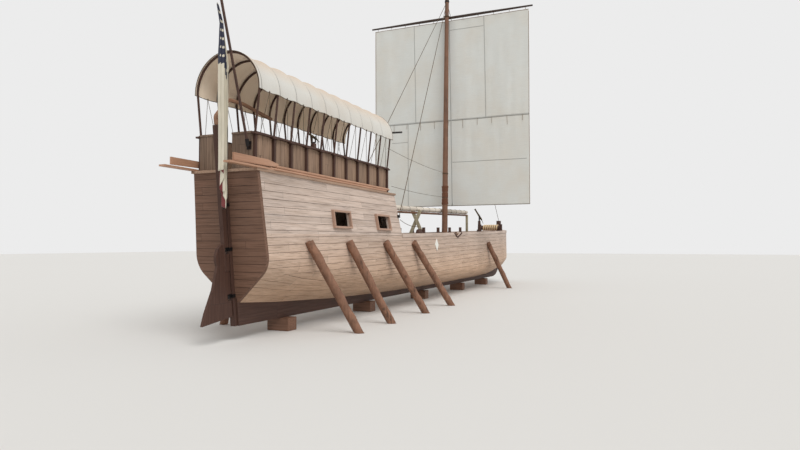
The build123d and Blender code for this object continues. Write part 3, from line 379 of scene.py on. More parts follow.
def mean_length(rows, axis):
    """The mean length of a sheet's rows of points, along them where axis is 1 and down them where it is 0."""
    return np.linalg.norm(np.diff(np.asarray(rows), axis=axis), axis=2).sum(axis=axis).mean()


def rope(name, points, radius, sides=6):
    """A round rope along points, with closed ends and its lay mapped in metres."""
    path = [Vector(p) for p in points]
    side = None
    rows = []
    for i, here in enumerate(path):
        way = (path[min(i + 1, len(path) - 1)] - path[max(i - 1, 0)]).normalized()
        if side is None:
            side = way.orthogonal().normalized()
        side = (side - way * side.dot(way)).normalized()
        up = way.cross(side)
        turns = [2 * pi * j / sides for j in range(sides)]
        rows.append([here + (side * cos(turn) + up * sin(turn)) * radius for turn in turns])
    rows = [[path[0]] * sides, *rows, [path[-1]] * sides]
    piece = surface(name, [[tuple(p) for p in row] for row in rows], closed=True)
    edit(piece, "SELECT")
    bpy.ops.mesh.remove_doubles(threshold=0.00001)
    leave_edit()
    return piece


def sagging(start, end, sag, steps):
    """Points along a line that hangs a little between its two ends."""
    start, end = Vector(start), Vector(end)
    points = []
    for i in range(steps + 1):
        t = i / steps
        points.append(start.lerp(end, t) - Vector((0, 0, sag * 4 * t * (1 - t))))
    return points


def coil(centre, axis, radius, length, turns, steps=20, hand=1):
    """Points of a rope wound round a straight piece, left-handed where hand is -1."""
    axis = Vector(axis).normalized()
    side = axis.orthogonal().normalized()
    up = axis.cross(side)
    points = []
    count = int(turns * steps)
    for i in range(count + 1):
        turn = hand * 2 * pi * i / steps
        place = Vector(centre) + axis * length * (i / count - 0.5)
        points.append(place + (side * cos(turn) + up * sin(turn)) * radius)
    return points


# Finishes

def tone(base, factor, warm=0.0):
    """A lighter or darker, warmer or cooler version of a colour."""
    red, green, blue = base
    return (min(1, red * factor * (1 + warm)), min(1, green * factor), min(1, blue * factor * (1 - warm)))


def clear(base):
    """A colour with its alpha."""
    return (*base, 1)


def lengthened(axis, run, across):
    """Scales that draw a figure out along one axis."""
    return tuple(run if name == axis else across for name in "XYZ")


class Nodes:
    """A node tree while nodes are added to it."""

    def __init__(self, tree):
        self.tree = tree

    def add(self, kind, inputs=None, **settings):
        """Add a node, with its inputs set or wired."""
        node = self.tree.nodes.new("ShaderNode" + kind)
        for key, value in settings.items():
            setattr(node, key, value)
        for socket, value in (inputs or {}).items():
            if isinstance(value, bpy.types.NodeSocket):
                self.tree.links.new(value, node.inputs[socket])
            else:
                node.inputs[socket].default_value = value
        return node

    def sums(self, how, first, second=0.0, third=0.0):
        """One step of arithmetic."""
        return self.add("Math", {0: first, 1: second, 2: third}, operation=how).outputs[0]

    def between(self, value, low, high):
        """How far a value is from low, where it gives 0, to high, where it gives 1."""
        return self.sums("MULTIPLY_ADD", value, 1 / (high - low), -low / (high - low))

    def mix(self, factor, first, second, how="MIX"):
        """One colour laid over another."""
        node = self.add("Mix", {0: factor, 6: first, 7: second}, data_type="RGBA", blend_type=how)
        return node.outputs[2]

    def times(self, first, second):
        """One colour darkened by another."""
        return self.mix(1.0, first, second, "MULTIPLY")

    def ramp(self, value, *stops):
        """Colours or greys along a scale."""
        node = self.add("ValToRGB", {0: value})
        elements = node.color_ramp.elements
        while len(elements) < len(stops):
            elements.new(0.5)
        for element, (place, shade) in zip(elements, stops):
            element.position = place
            element.color = (*shade, 1) if isinstance(shade, tuple) else (shade, shade, shade, 1)
        return node.outputs[0]

    def cloud(self, place, scale, detail, rough=0.5, twist=0.0):
        """Soft noise over a surface."""
        return self.add("TexNoise", {"Vector": place, "Scale": scale, "Detail": detail, "Roughness": rough,
                                     "Distortion": twist}).outputs[0]

    def drawn_out(self, place, scales, detail, rough=0.5, twist=0.0):
        """Soft noise with its own scale along each axis."""
        return self.cloud(self.add("Mapping", {0: place, 3: scales}).outputs[0], 1, detail, rough, twist)

    def axes(self, place):
        """The three measures of a place."""
        return self.add("SeparateXYZ", {0: place}).outputs


class Surface(Nodes):
    """A material while its nodes are laid."""

    def __init__(self, name, roughness, metallic=0.0):
        self.material = bpy.data.materials.new(name)
        self.material.use_nodes = True
        super().__init__(self.material.node_tree)
        self.shader = self.tree.nodes["Principled BSDF"].inputs
        self.shader["Roughness"].default_value = roughness
        self.shader["Metallic"].default_value = metallic

    def place(self):
        """The place of a point in the boat's frame."""
        return self.add("TexCoord").outputs["Object"]

    def cloth_map(self):
        """The place of a point on its own cloth or rope, in metres."""
        return self.add("UVMap", uv_map="Cloth").outputs[0]

    def threads(self, places, thread, way):
        """Threads that run one way, each as broad as thread."""
        scale = WAVE_PERIOD / thread
        return self.add("TexWave", {"Vector": places, "Scale": scale}, bands_direction=way).outputs[1]

    def roughen(self, value, *stops):
        """Let the roughness follow a value."""
        self.tree.links.new(self.ramp(value, *stops), self.shader["Roughness"])

    def done(self, base, height, strength, distance):
        """Wire the colour and the relief, and hand over the material."""
        self.tree.links.new(base, self.shader["Base Color"])
        bump = self.add("Bump", {"Strength": strength, "Distance": distance, "Height": height})
        self.tree.links.new(bump.outputs[0], self.shader["Normal"])
        return self.material


def timber(name, base, grain="X", rows="Z", row=0.115, slope=0.0, run=2.6, contrast=1.0, streaks=0.5,
           rough=0.68, start=0.0, warm=None):
    """Sawn timber: boards that differ, grain along them, dark saw streaks and stains, and where warm is given
    a painted warm light that fades upward.
    """
    wood = Surface(name, rough)
    place = wood.place()
    axes = wood.axes(place)
    lengthwise = axes[grain]
    level = wood.sums("MULTIPLY_ADD", lengthwise, -slope, axes[rows])
    number = wood.sums("FLOOR", wood.sums("MULTIPLY_ADD", level, 1 / row, -start / row))
    shift = wood.add("TexWhiteNoise", {1: number}, noise_dimensions="1D").outputs[0]
    lengths = wood.sums("MULTIPLY_ADD", lengthwise, 1 / run, shift)
    board = wood.add("CombineXYZ", {0: number, 1: wood.sums("FLOOR", lengths)}).outputs[0]
    mark = wood.add("TexWhiteNoise", {0: board}, noise_dimensions="3D").outputs
    moved = wood.add("VectorMath", {0: place, 1: mark[1]}, operation="ADD").outputs[0]
    figure = wood.drawn_out(moved, lengthened(grain, 1.4, 34), 6, 0.62, 0.5)
    streak = wood.drawn_out(moved, lengthened(grain, 2.6, 70), 3)
    colours = wood.ramp(figure, (0.28, tone(base, 1 - 0.30 * contrast, 0.05)), (0.5, tone(base, 1.0)),
                        (0.72, tone(base, 1 + 0.22 * contrast, -0.03)))
    varied = wood.times(colours, wood.ramp(mark[0], (0.0, 1 - 0.16 * contrast), (1.0, 1.0)))
    streaked = wood.times(varied, wood.ramp(streak, (0.56, 1.0), (0.74, 1 - streaks)))
    stained = wood.times(streaked, wood.ramp(wood.cloud(place, 0.9, 3), (0.3, 0.86), (0.65, 1.0)))
    # Painted warm light: the colour takes the warm tint at the low height and loses it by the high height, as
    # light thrown up from below.
    if warm:
        low, high, warm_light_tint = warm
        warm_light_fade = wood.between(axes["Z"], low, high)
        stained = wood.times(stained, wood.ramp(warm_light_fade, (0.0, warm_light_tint), (1.0, 1.0)))
    butt = wood.sums("LESS_THAN", wood.sums("FRACT", lengths), 0.004 / run)
    wood.roughen(figure, (0.2, min(1, rough + 0.16)), (0.8, rough - 0.1))
    butted = wood.mix(butt, stained, clear(tone(base, 0.25)))
    return wood.done(butted, wood.mix(0.5, figure, streak), 0.3, 0.003)


def round_timber(name, base, cracks=0.6, rough=0.62, axis="Z", relief=0.4, lumps=0.0):
    """A round spar or a log: long grain, drying cracks and knots."""
    wood = Surface(name, rough)
    place = wood.place()
    figure = wood.drawn_out(place, lengthened(axis, 1.0, 26), 6, 0.6, 0.8)
    crack = wood.drawn_out(place, lengthened(axis, 0.5, 16), 4, 0.6)
    knots = wood.add("TexVoronoi", {"Vector": place, "Scale": 3.2}).outputs["Distance"]
    blotch = wood.cloud(place, 5, 4)
    colours = wood.ramp(figure, (0.25, tone(base, 0.66, 0.08)), (0.5, tone(base, 1.0)),
                        (0.78, tone(base, 1.28)))
    split = wood.ramp(crack, (0.60, 1.0), (0.66, 1 - cracks), (0.70, 1.0))
    knotted = wood.mix(wood.ramp(knots, (0.05, 0.75), (0.13, 0.0)), wood.times(colours, split),
                       clear(tone(base, 0.35)))
    patched = wood.times(knotted, wood.ramp(blotch, (0.32, 0.72), (0.6, 1.0)))
    height = wood.mix(0.5, wood.mix(0.4, figure, blotch), split)
    return wood.done(patched, height, relief, 0.004 + lumps)


def cloth(name, base, thread=0.0022, sheen=0.25, soil=0.12, warm=None):
    """Woven cloth with its threads on the piece's own map, painted shade between the threads, creases, a
    little soiling and, where warm is given, a painted warm light on top.
    """
    duck = Surface(name, 0.88)
    duck.shader["Sheen Weight"].default_value = sheen
    duck.shader["Sheen Roughness"].default_value = 0.5
    places = duck.cloth_map()
    place = duck.place()
    weave = duck.sums("MULTIPLY", duck.threads(places, thread, "X"), duck.threads(places, thread, "Y"))
    slub = duck.drawn_out(places, (3, 60, 1), 4)
    stain = duck.cloud(place, 1.1, 5, 0.6)
    plain = duck.ramp(stain, (0.30, tone(base, 1 - soil, 0.05)), (0.6, tone(base, 1.0)))
    # Painted shade between the threads: the weave darkens the colour a little where the threads part.
    threaded = duck.times(plain, duck.ramp(weave, (0.0, 0.93), (0.8, 1.0)))
    whole = duck.times(threaded, duck.ramp(slub, (0.3, 0.95), (0.6, 1.0)))
    # Painted warm light on top: the colour takes the warm tint from the low height up, in full by the high
    # height.
    if warm:
        low, high, warm_light_tint = warm
        top = duck.ramp(duck.between(duck.axes(place)["Z"], low, high), (0.0, 0.0), (1.0, 1.0))
        whole = duck.mix(top, whole, duck.times(whole, clear(warm_light_tint)))
    return duck.done(whole, duck.mix(0.35, duck.cloud(place, 7, 6, 0.55, 1.2), weave), 0.35, 0.004)


def cordage(name, base, lay=0.05):
    """Laid rope: three strands that run round it, on its own map, with painted shade in the grooves between
    them and a painted highlight on their crowns.
    """
    hemp = Surface(name, 0.85)
    places = hemp.cloth_map()
    axes = hemp.axes(places)
    turn = hemp.sums("MULTIPLY_ADD", axes["Y"], 3 / lay, hemp.sums("MULTIPLY", axes["X"], 60))
    strand = hemp.sums("PINGPONG", turn, 0.5)
    # Painted shade in the grooves between the strands and a painted highlight on their crowns.
    colours = hemp.ramp(strand, (0.02, tone(base, 0.45)), (0.22, tone(base, 0.9)), (0.5, tone(base, 1.15)))
    fuzzy = hemp.times(colours, hemp.ramp(hemp.cloud(places, 260, 3), (0.3, 0.8), (0.65, 1.0)))
    return hemp.done(fuzzy, strand, 0.7, 0.004)


def metal(name, base, rough=0.5, rust=0.3):
    """Forged or cast metal with worn and rusty patches."""
    forged = Surface(name, rough, 0.85)
    place = forged.place()
    pits = forged.cloud(place, 60, 5, 0.65)
    patch = forged.cloud(place, 14, 6)
    plain = forged.ramp(pits, (0.3, tone(base, 0.7)), (0.7, tone(base, 1.25)))
    rusty = forged.mix(forged.ramp(patch, (0.52, 0.0), (0.70, rust)), plain, clear(card(92, 52, 30)))
    forged.roughen(patch, (0.3, rough - 0.12), (0.7, min(1, rough + 0.25)))
    return forged.done(rusty, pits, 0.35, 0.002)


def flat_paint(name, base):
    """Brushed paint on wood, thin at places."""
    coat = Surface(name, 0.55)
    place = coat.place()
    brush = coat.drawn_out(place, (12, 12, 60), 4)
    plain = coat.ramp(brush, (0.3, tone(base, 0.92)), (0.7, tone(base, 1.0)))
    worn = coat.mix(coat.ramp(coat.cloud(place, 30, 5), (0.66, 0.0), (0.72, 0.7)), plain,
                    clear(tone(base, 0.45, 0.15)))
    return coat.done(worn, brush, 0.3, 0.001)


def bunting(name, length, hoist):
    """The flag's cloth: a dark blue canton with stars, and red and cream stripes along the fly."""
    flag = Surface(name, 0.85)
    flag.shader["Sheen Weight"].default_value = 0.3
    cream, red, navy = card(214, 206, 186), card(112, 34, 34), card(30, 34, 58)
    places = flag.cloth_map()
    axes = flag.axes(places)
    u, v = axes["X"], axes["Y"]
    stripe = flag.sums("LESS_THAN", flag.sums("FRACT", flag.sums("MULTIPLY", u, 6.5 / hoist)), 0.40)
    red_part = flag.sums("MULTIPLY", stripe, flag.sums("GREATER_THAN", u, hoist * 0.07))
    bars = flag.mix(red_part, clear(cream), clear(red))
    cells = flag.add("TexVoronoi", {"Vector": places, "Scale": 8, "Randomness": 0.0}).outputs["Distance"]
    field = flag.mix(flag.sums("LESS_THAN", cells, 0.15), clear(navy), clear(cream))
    canton = flag.sums("MULTIPLY", flag.sums("LESS_THAN", v, length * 0.36),
                       flag.sums("LESS_THAN", u, hoist * 0.56))
    dust = flag.ramp(flag.cloud(places, 3, 5), (0.3, 0.82), (0.65, 1.0))
    dusty = flag.times(flag.mix(canton, bars, field), dust)
    return flag.done(dusty, flag.threads(places, 0.0016, "X"), 0.2, 0.001)


FINISH = {}


def make_finishes(look, planks):
    """All finishes, by name."""
    strake = planks.strake
    dark = look.dark_timber
    FINISH.update({
        # The hull's planks take painted warm light towards the bottom, for light thrown up from the floor.
        "hull": timber("hull_planks", look.planking, row=strake, slope=planks.hull_slope, streaks=0.4,
                       warm=(0.7, 1.9, card(255, 236, 214))),
        "cabin": timber("cabin_planks", look.planking, row=strake, slope=planks.cabin_slope, streaks=0.42),
        # The transom's planks are darkened as painted shade on the shaded stern, over their own brown.
        "transom": timber("transom_planks", look.transom, grain="Y", row=strake),
        "rail": timber("rail_timber", tone(look.planking, 1.02), row=0.5, streaks=0.35),
        "tiller": timber("tiller_timber", tone(look.sweep, 0.6, 0.05), row=0.5, streaks=0.3),
        "staff": round_timber("staff_timber", tone(dark, 0.9)),
        "front": timber("front_boards", look.planking, grain="Y", row=strake),
        "seam": timber("seam_pitch", tone(dark, 0.5), contrast=0.4, streaks=0.3),
        "dark_long": timber("dark_timber_long", dark, row=0.5, streaks=0.4),
        "dark_upright": timber("dark_timber_upright", dark, grain="Z", rows="X", row=0.46, streaks=0.4),
        "boards": timber("bulwark_boards", look.boards, grain="Z", rows="X", contrast=1.5, streaks=0.65,
                         run=3),
        # The stern's boards are the bulwark boards darkened, as painted shade on the shaded stern.
        "shaded_boards_across": timber("stern_boards_shaded", tone(look.boards, 0.62), grain="Z", rows="Y", contrast=1.5,
                                streaks=0.65, run=3),
        "oak_across": timber("oak_across", look.oak, grain="Y", rows="X", row=0.45),
        "crutch": timber("crutch_timber", card(178, 168, 142), grain="Z", rows="Y", row=4.5, start=1),
        "deck": timber("deck_boards", look.deck, rows="Y", row=planks.deck_board, rough=0.78),
        "floorboards": timber("floor_boards", tone(look.deck, 0.8), rows="Y", row=0.15, rough=0.8),
        "door": timber("door_boards", look.boards, grain="Z", rows="Y", row=0.112, run=3),
        "pale": timber("pale_timber", look.pale, row=0.6, streaks=0.25, contrast=0.6),
        "sweep": timber("sweep_timber", look.sweep, row=0.5, streaks=0.3, rough=0.5, contrast=0.7),
        "spar": round_timber("spar_timber", look.spar),
        "yard": round_timber("yard_timber", tone(look.spar, 0.2), axis="Y"),
        "pole": round_timber("pole_timber", tone(look.spar, 1.05), axis="X"),
        # The drum's dark colour is partly its own and partly painted shade in the gaps between the rope's
        # turns.
        "drum": round_timber("drum_timber", card(70, 44, 30), axis="Y"),
        "log": round_timber("log_timber", look.log, cracks=0.75, relief=0.7, lumps=0.006, rough=0.8),
        "block": timber("block_timber", tone(look.log, 0.9), grain="Y", rows="X", row=0.6, contrast=1.4),
        # The tilt's top takes painted warm light, where light falls on it.
        "canvas": cloth("tilt_canvas", look.canvas, warm=(3.95, 4.32, card(255, 231, 208))),
        # The tilt's inside is lighter and warmer than its outside: painted light shining through the canvas.
        "canvas_inside_lit": cloth("tilt_canvas_inside", card(252, 236, 214)),
        # The tilt's seam strips are darkened as painted shadow along the hoops.
        "canvas_seam_shadow": cloth("tilt_seam_shadow", tone(look.canvas, 0.24, 0.1)),
        "awning": cloth("awning_canvas", tone(look.canvas, 1.06, 0.07), soil=0.2),
        "sail": cloth("sailcloth", look.sail, thread=0.0018, soil=0.07, sheen=0.15),
        "sail_seam": cloth("sail_seam", tone(look.sail, 0.62), thread=0.0018, sheen=0.1),
        "rope": cordage("hemp_rope", look.rope),
        "windlass_rope": cordage("windlass_hemp", card(244, 214, 172), lay=0.16),
        "woolding": cordage("woolding_hemp", card(126, 80, 56)),
        "lashing": cordage("lashing_line", tone(look.canvas, 0.72, 0.06)),
        "dark_rope": cordage("tarred_rope", tone(look.rope, 0.42)),
        "iron": metal("forged_iron", look.iron),
        "bronze": metal("gun_bronze", look.bronze, rough=0.45, rust=0.1),
        "paint": flat_paint("white_paint", look.paint),
    })


class MakeFinishes(bpy.types.Operator):
    """Mix the finishes and lay them on the CAD pieces that stay"""
    bl_idname = "keelboat.finishes"
    bl_label = "Finishes"

    def execute(self, context):
        make_finishes(context.scene.keelboat_finishes, context.scene.keelboat_planking)
        plain = {
            "planking": "hull", "dark_timber": "dark_long", "frame_timber": "oak_across",
            "deck_timber": "deck", "bulwark_boards": "boards", "pale_timber": "pale", "spar_timber": "spar",
            "log_timber": "block", "sweep_timber": "sweep", "white_paint": "paint", "iron": "iron",
            "gun_bronze": "bronze", "canvas": "awning", "sailcloth": "sail", "rope": "rope",
            "flag_cloth": "sail",
        }
        own = {"yard": "yard", "ridge_pole": "pole", "windlass_drum": "drum", "gun_post": "dark_upright"}
        for name, node in frame["nodes"].items():
            paint(node, own.get(name, plain[SLOT_OF[name]]))
        return {"FINISHED"}


class MakePlanking(bpy.types.Operator):
    """Plank the hull, the cabin, the transom and the decks with seams between the boards"""
    bl_idname = "keelboat.planking"
    bl_label = "Planking"

    def plank(self, node, name, finish, slot, *seams):
        """Cut rows of seams in a node's copy, each in the faces that show it, and put it in its place."""
        sizes = bpy.context.scene.keelboat_planking
        piece = copy_of(node)
        paint(piece, finish, "seam")
        for cuts, shows in seams:
            cut_seams(piece, cuts, sizes.seam, sizes.seam_depth, shows)
        smooth(piece, 20)
        fit(piece, name, "hull", [node])

    def level_cuts(self, level, top, slope=0.0):
        """Seams one strake apart, from one height to another, that may rise towards the bow."""
        cuts = []
        while level < top:
            cuts.append(((0, 0, level), (-slope, 0, 1)))
            level += bpy.context.scene.keelboat_planking.strake
        return cuts

    def execute(self, context):
        sizes = context.scene.keelboat_planking
        # The bottom is where a face looks down more steeply than this, and its seams run fore and aft
        bilge = -0.62
        bottom_seams = (0.2, 0.33, 0.46, 0.59)
        lowest_seam = 0.55
        for side, sign in SIDES:
            node = "hull_planking_" + side
            sheer = self.level_cuts(lowest_seam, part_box(node)[1].z, sizes.hull_slope)
            bottom = [((0, sign * y, 0), (0, 1, 0)) for y in bottom_seams]
            self.plank(node, "hull_strakes_" + side, "hull", "planking",
                       (sheer, lambda c, n, s=sign: n.y * s > 0.2 and n.z > bilge),
                       (bottom, lambda c, n: n.z < bilge))
            node = "cabin_side_" + side
            low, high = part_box(node)
            cuts = self.level_cuts(low.z + 0.1, high.z - 0.03, sizes.cabin_slope)
            self.plank(node, "cabin_strakes_" + side, "cabin", "planking",
                       (cuts, lambda c, n, s=sign: n.y * s > 0.5))

        low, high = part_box("transom")
        cuts = self.level_cuts(low.z + 0.12, high.z - 0.04)
        self.plank("transom", "transom_planks", "transom", "planking", (cuts, lambda c, n: n.x < -0.5))

        for node in ("quarterdeck", "bow_deck"):
            rows = int(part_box(node)[1].y / sizes.deck_board)
            cuts = [((0, sizes.deck_board * i, 0), (0, 1, 0)) for i in range(-rows, rows + 1)]
            self.plank(node, node + "_boards", "deck", "deck_timber", (cuts, lambda c, n: n.z > 0.9))

        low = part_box("cabin_front")[0].z
        cuts = [((0, 0, low + sizes.strake * i), (0, 0, 1)) for i in range(1, 17)]
        front = along(4.9)
        self.plank("cabin_front", "cabin_front_boards", "front", "planking",
                   (cuts, lambda c, n: n.x > 0.9 and abs(c.x - front) < 0.002))
        return {"FINISHED"}


class MakeNotchShadeStrips(bpy.types.Operator):
    """Lay dark strips under the two edges of the oar notch, as painted shade of the notch's cut faces"""
    bl_idname = "keelboat.notch_lining"
    bl_label = "Notch shade strips"

    def execute(self, context):
        # The notch's three corners, as the distance from the transom and the height
        aft, bottom, fore = (8.452, 1.761), (8.77, 1.657), (9.147, 1.781)
        outer_y, lap, breadth, height = -0.796, 0.012, 0.024, 0.036
        strips = []
        for start, end in ((aft, bottom), (bottom, fore)):
            run, rise = end[0] - start[0], end[1] - start[1]
            place = (along((start[0] + end[0]) / 2), outer_y, (start[1] + end[1]) / 2 - 0.019)
            strip = block(place, (hypot(run, rise) + lap, breadth, height), atan2(rise, run))
            ease(strip, 0.003)
            strips.append(strip)
        # The strips are painted shade: dark timber standing in for the shade on the notch's cut faces.
        fit_all(strips, "dark_long", "notch_lining")
        return {"FINISHED"}


class MakeTimbers(bpy.types.Operator):
    """Ease the edges of the keel, posts, rails, frames, seats and other sawn timbers"""
    bl_idname = "keelboat.timbers"
    bl_label = "Timbers"

    def darken_pins(self, gunwale):
        """Give the four thole pins that stand on a gunwale the dark upright finish."""
        for x in (6.345, 7.352, 8.271, 9.218):
            pin = along(x)
            top = max(v.co.z for v in gunwale.data.vertices if abs(v.co.x - pin) < 0.035)
            for face in gunwale.data.polygons:
                if abs(face.center.x - pin) < 0.052 and face.center.z > top - 0.13:
                    face.material_index = 1

    def execute(self, context):
        # Each node, how much its edges are eased, and its finish
        pieces = [
            ("keel", 0.008, "dark_long"), ("stem", 0.01, "dark_upright"),
            ("sternpost", 0.008, "dark_upright"), ("rudder", 0.007, "dark_upright"),
            ("tiller", 0.014, "tiller"), ("frames", 0.006, "oak_across"),
            ("floorboards", 0.003, "floorboards"), ("thwarts", 0.006, "oak_across"),
            ("gunwale_port", 0.006, "rail"), ("gunwale_starboard", 0.006, "rail"),
            ("bulwark_port", 0.0015, "boards"), ("bulwark_starboard", 0.0015, "boards"),
            # The stern bulwark takes the bulwark boards darkened as painted shade.
            ("bulwark_stern", 0.003, "shaded_boards_across"), ("bulwark_posts_port", 0.004, "dark_upright"),
            ("bulwark_posts_starboard", 0.004, "dark_upright"), ("canopy_hoops", 0.004, "dark_upright"),
            ("window_frames", 0.004, "pale"), ("cabin_door", 0.003, "door"),
            ("mast_step", 0.008, "oak_across"), ("pole_supports", 0.004, "crutch"),
            ("sweeps_port", 0.004, "sweep"), ("sweeps_starboard", 0.004, "sweep"),
            ("bitts", 0.008, "dark_upright"), ("keel_blocks", 0.012, "block"), ("plaques", 0.003, "paint"),
            ("mast", 0.006, "spar"), ("yard", 0.006, "yard"), ("gun_post", 0.004, "dark_upright"),
            ("windlass_drum", 0.01, "drum"), ("flagstaff", 0.002, "staff"), ("ridge_pole", 0.004, "pole"),
            ("gun_barrel_bow", 0.0015, "bronze"), ("gun_barrel_stern", 0.001, "bronze"),
            ("gun_fork_bow", 0.0015, "iron"), ("gun_fork_stern", 0.001, "iron"),
        ]
        for node, width, finish in pieces:
            piece = copy_of(node)
            paint(piece, finish, "dark_upright")
            ease(piece, width)
            if node.startswith("gunwale"):
                self.darken_pins(piece)
            fit(piece, node + "_eased", BODY_OF[node], [node])
        return {"FINISHED"}


class MakeTilt(bpy.types.Operator):
    """Stretch the canvas over the hoops, with its seams darkened as painted shadow along the hoops, its
    inside lightened as painted light through the cloth, its ridges and the rope in its edge
    """
    bl_idname = "keelboat.tilt"
    bl_label = "Tilt"

    def execute(self, context):
        sizes = context.scene.keelboat_cloth
        low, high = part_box("canopy")
        radius = high.y - 0.0035
        spring = high.z - high.y
        # The canvas stands up over each hoop, and a seam strip lies beside it between these two distances,
        # darkened as painted shadow along the hoop
        ridge_rise, ridge_half = 0.003, 0.017
        shadow_strip_start, shadow_strip_end = 0.0175, 0.036
        # The sides take this share of a bay's dip, and the crest takes all of it
        side_dip = 0.55
        stations = {low.x, low.x + 0.012, low.x + 0.024}
        stations.update(high.x - away for away in (0.06, 0.024, 0.012, 0))
        for i in range(HOOPS):
            hoop = FIRST_HOOP + HOOP_PITCH * i
            stations.update(hoop + away for away in (-0.018, -0.0165, 0, 0.0165, 0.018, shadow_strip_end))
            if i < HOOPS - 1:
                stations.update(hoop + HOOP_PITCH * share
                                for share in (0.09, 0.16, 0.25, 0.35, 0.5, 0.65, 0.75, 0.84, 0.91))
        stations = sorted(stations)

        def hang(x):
            """How far on a place is in its bay, how deep the canvas dips there, and its edge's height."""
            bay = min(max((x - FIRST_HOOP) / HOOP_PITCH, 0), HOOPS - 1) % 1
            dip = sizes.tilt_sag * sin(pi * bay) ** 1.3
            return bay, dip, low.z + 0.012 * cos(2 * pi * bay) * 0.6

        def side(x, raised, sign, phase):
            """Points from the canvas's edge up to the spring of the arch."""
            bay, dip, edge = hang(x)
            points = []
            for k in range(5):
                flutter = 0.005 * sin(6 * pi * bay + phase) * (1 - k / 5) * sin(pi * bay)
                y = radius + raised - dip * side_dip + flutter
                points.append((x, sign * y, edge + (spring - edge) * k / 5))
            return points

        turns = 44
        rows = []
        for x in stations:
            near = min(max(round((x - FIRST_HOOP) / HOOP_PITCH), 0), HOOPS - 1)
            raised = ridge_rise if abs(x - (FIRST_HOOP + HOOP_PITCH * near)) < ridge_half else 0.0
            dip = hang(x)[1]
            arch = []
            for k in range(turns + 1):
                turn = pi * k / turns
                here = radius + raised - dip * (side_dip + (1 - side_dip) * sin(turn))
                arch.append((x, here * cos(turn), spring + here * sin(turn)))
            rows.append(side(x, raised, 1, 0) + arch + side(x, raised, -1, 1)[::-1])
        piece = surface("tilt_canvas", rows)
        edit(piece, "SELECT")
        bpy.ops.mesh.normals_make_consistent(inside=False)
        leave_edit()
        face = piece.data.polygons[len(piece.data.polygons) // 2]
        if face.normal.dot(face.center - Vector((face.center.x, 0, spring))) < 0:
            edit(piece, "SELECT")
            bpy.ops.mesh.flip_normals()
            leave_edit()
        paint(piece, "canvas", "canvas_inside_lit", "canvas_seam_shadow")
        # The strips beside the hoops take the dark seam finish, painted shadow along each hoop.
        for face in piece.data.polygons:
            beside = (face.center.x - FIRST_HOOP) % HOOP_PITCH
            if shadow_strip_start < beside < shadow_strip_end and face.center.x < high.x - 0.1:
                face.material_index = 2
        # The inside faces take the lighter inside finish, painted light shining through the canvas.
        thicken(piece, 0.0025, material_offset=1, material_offset_rim=0)
        fit(piece, "tilt_canvas", "hull", ["canopy"])

        edge_radius = 0.0055
        cords = []
        for sign in (1, -1):
            points = []
            for x in stations[::2]:
                _, dip, edge = hang(x)
                points.append((x, sign * (radius - dip * side_dip), edge + 0.004))
            cords.append(rope("edge_rope", points, edge_radius))
        for x in (low.x + 0.004, high.x - 0.004):
            arch = [(x, radius * cos(pi * k / 40), spring + radius * sin(pi * k / 40))
                    for k in range(41)]
            points = [(x, radius, low.z + 0.01), *arch, (x, -radius, low.z + 0.01)]
            cords.append(rope("end_rope", points, edge_radius))
        edging = fit_all(cords, "dark_rope", "tilt_edge_rope")
        return {"FINISHED"}


class MakeTies(bpy.types.Operator):
    """Tie the canvas's edge down to the rail with cords in the middle of each bay"""
    bl_idname = "keelboat.ties"
    bl_label = "Tie cords"

    def execute(self, context):
        radius = context.scene.keelboat_ropes.tie
        low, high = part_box("canopy")
        rail_y, rail_top = 0.512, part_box("bulwark_posts_port")[1].z
        splay = 0.27
        cords = []
        for sign in (1, -1):
            for i in range(HOOPS - 1):
                middle = FIRST_HOOP + HOOP_PITCH * (i + 0.5)
                top = (middle, sign * (high.y - 0.012), low.z + 0.012)
                for way in (-splay, splay):
                    foot = (middle + HOOP_PITCH * way, sign * rail_y, rail_top + 0.004)
                    cords.append(rope("tie", sagging(top, foot, 0, 2), radius))
                cords.append(rope("tie_knot", coil(top, (0, sign, 0), 0.008, 0.012, 2, 8), radius))
        fit_all(cords, "dark_rope", "tilt_ties")
        return {"FINISHED"}


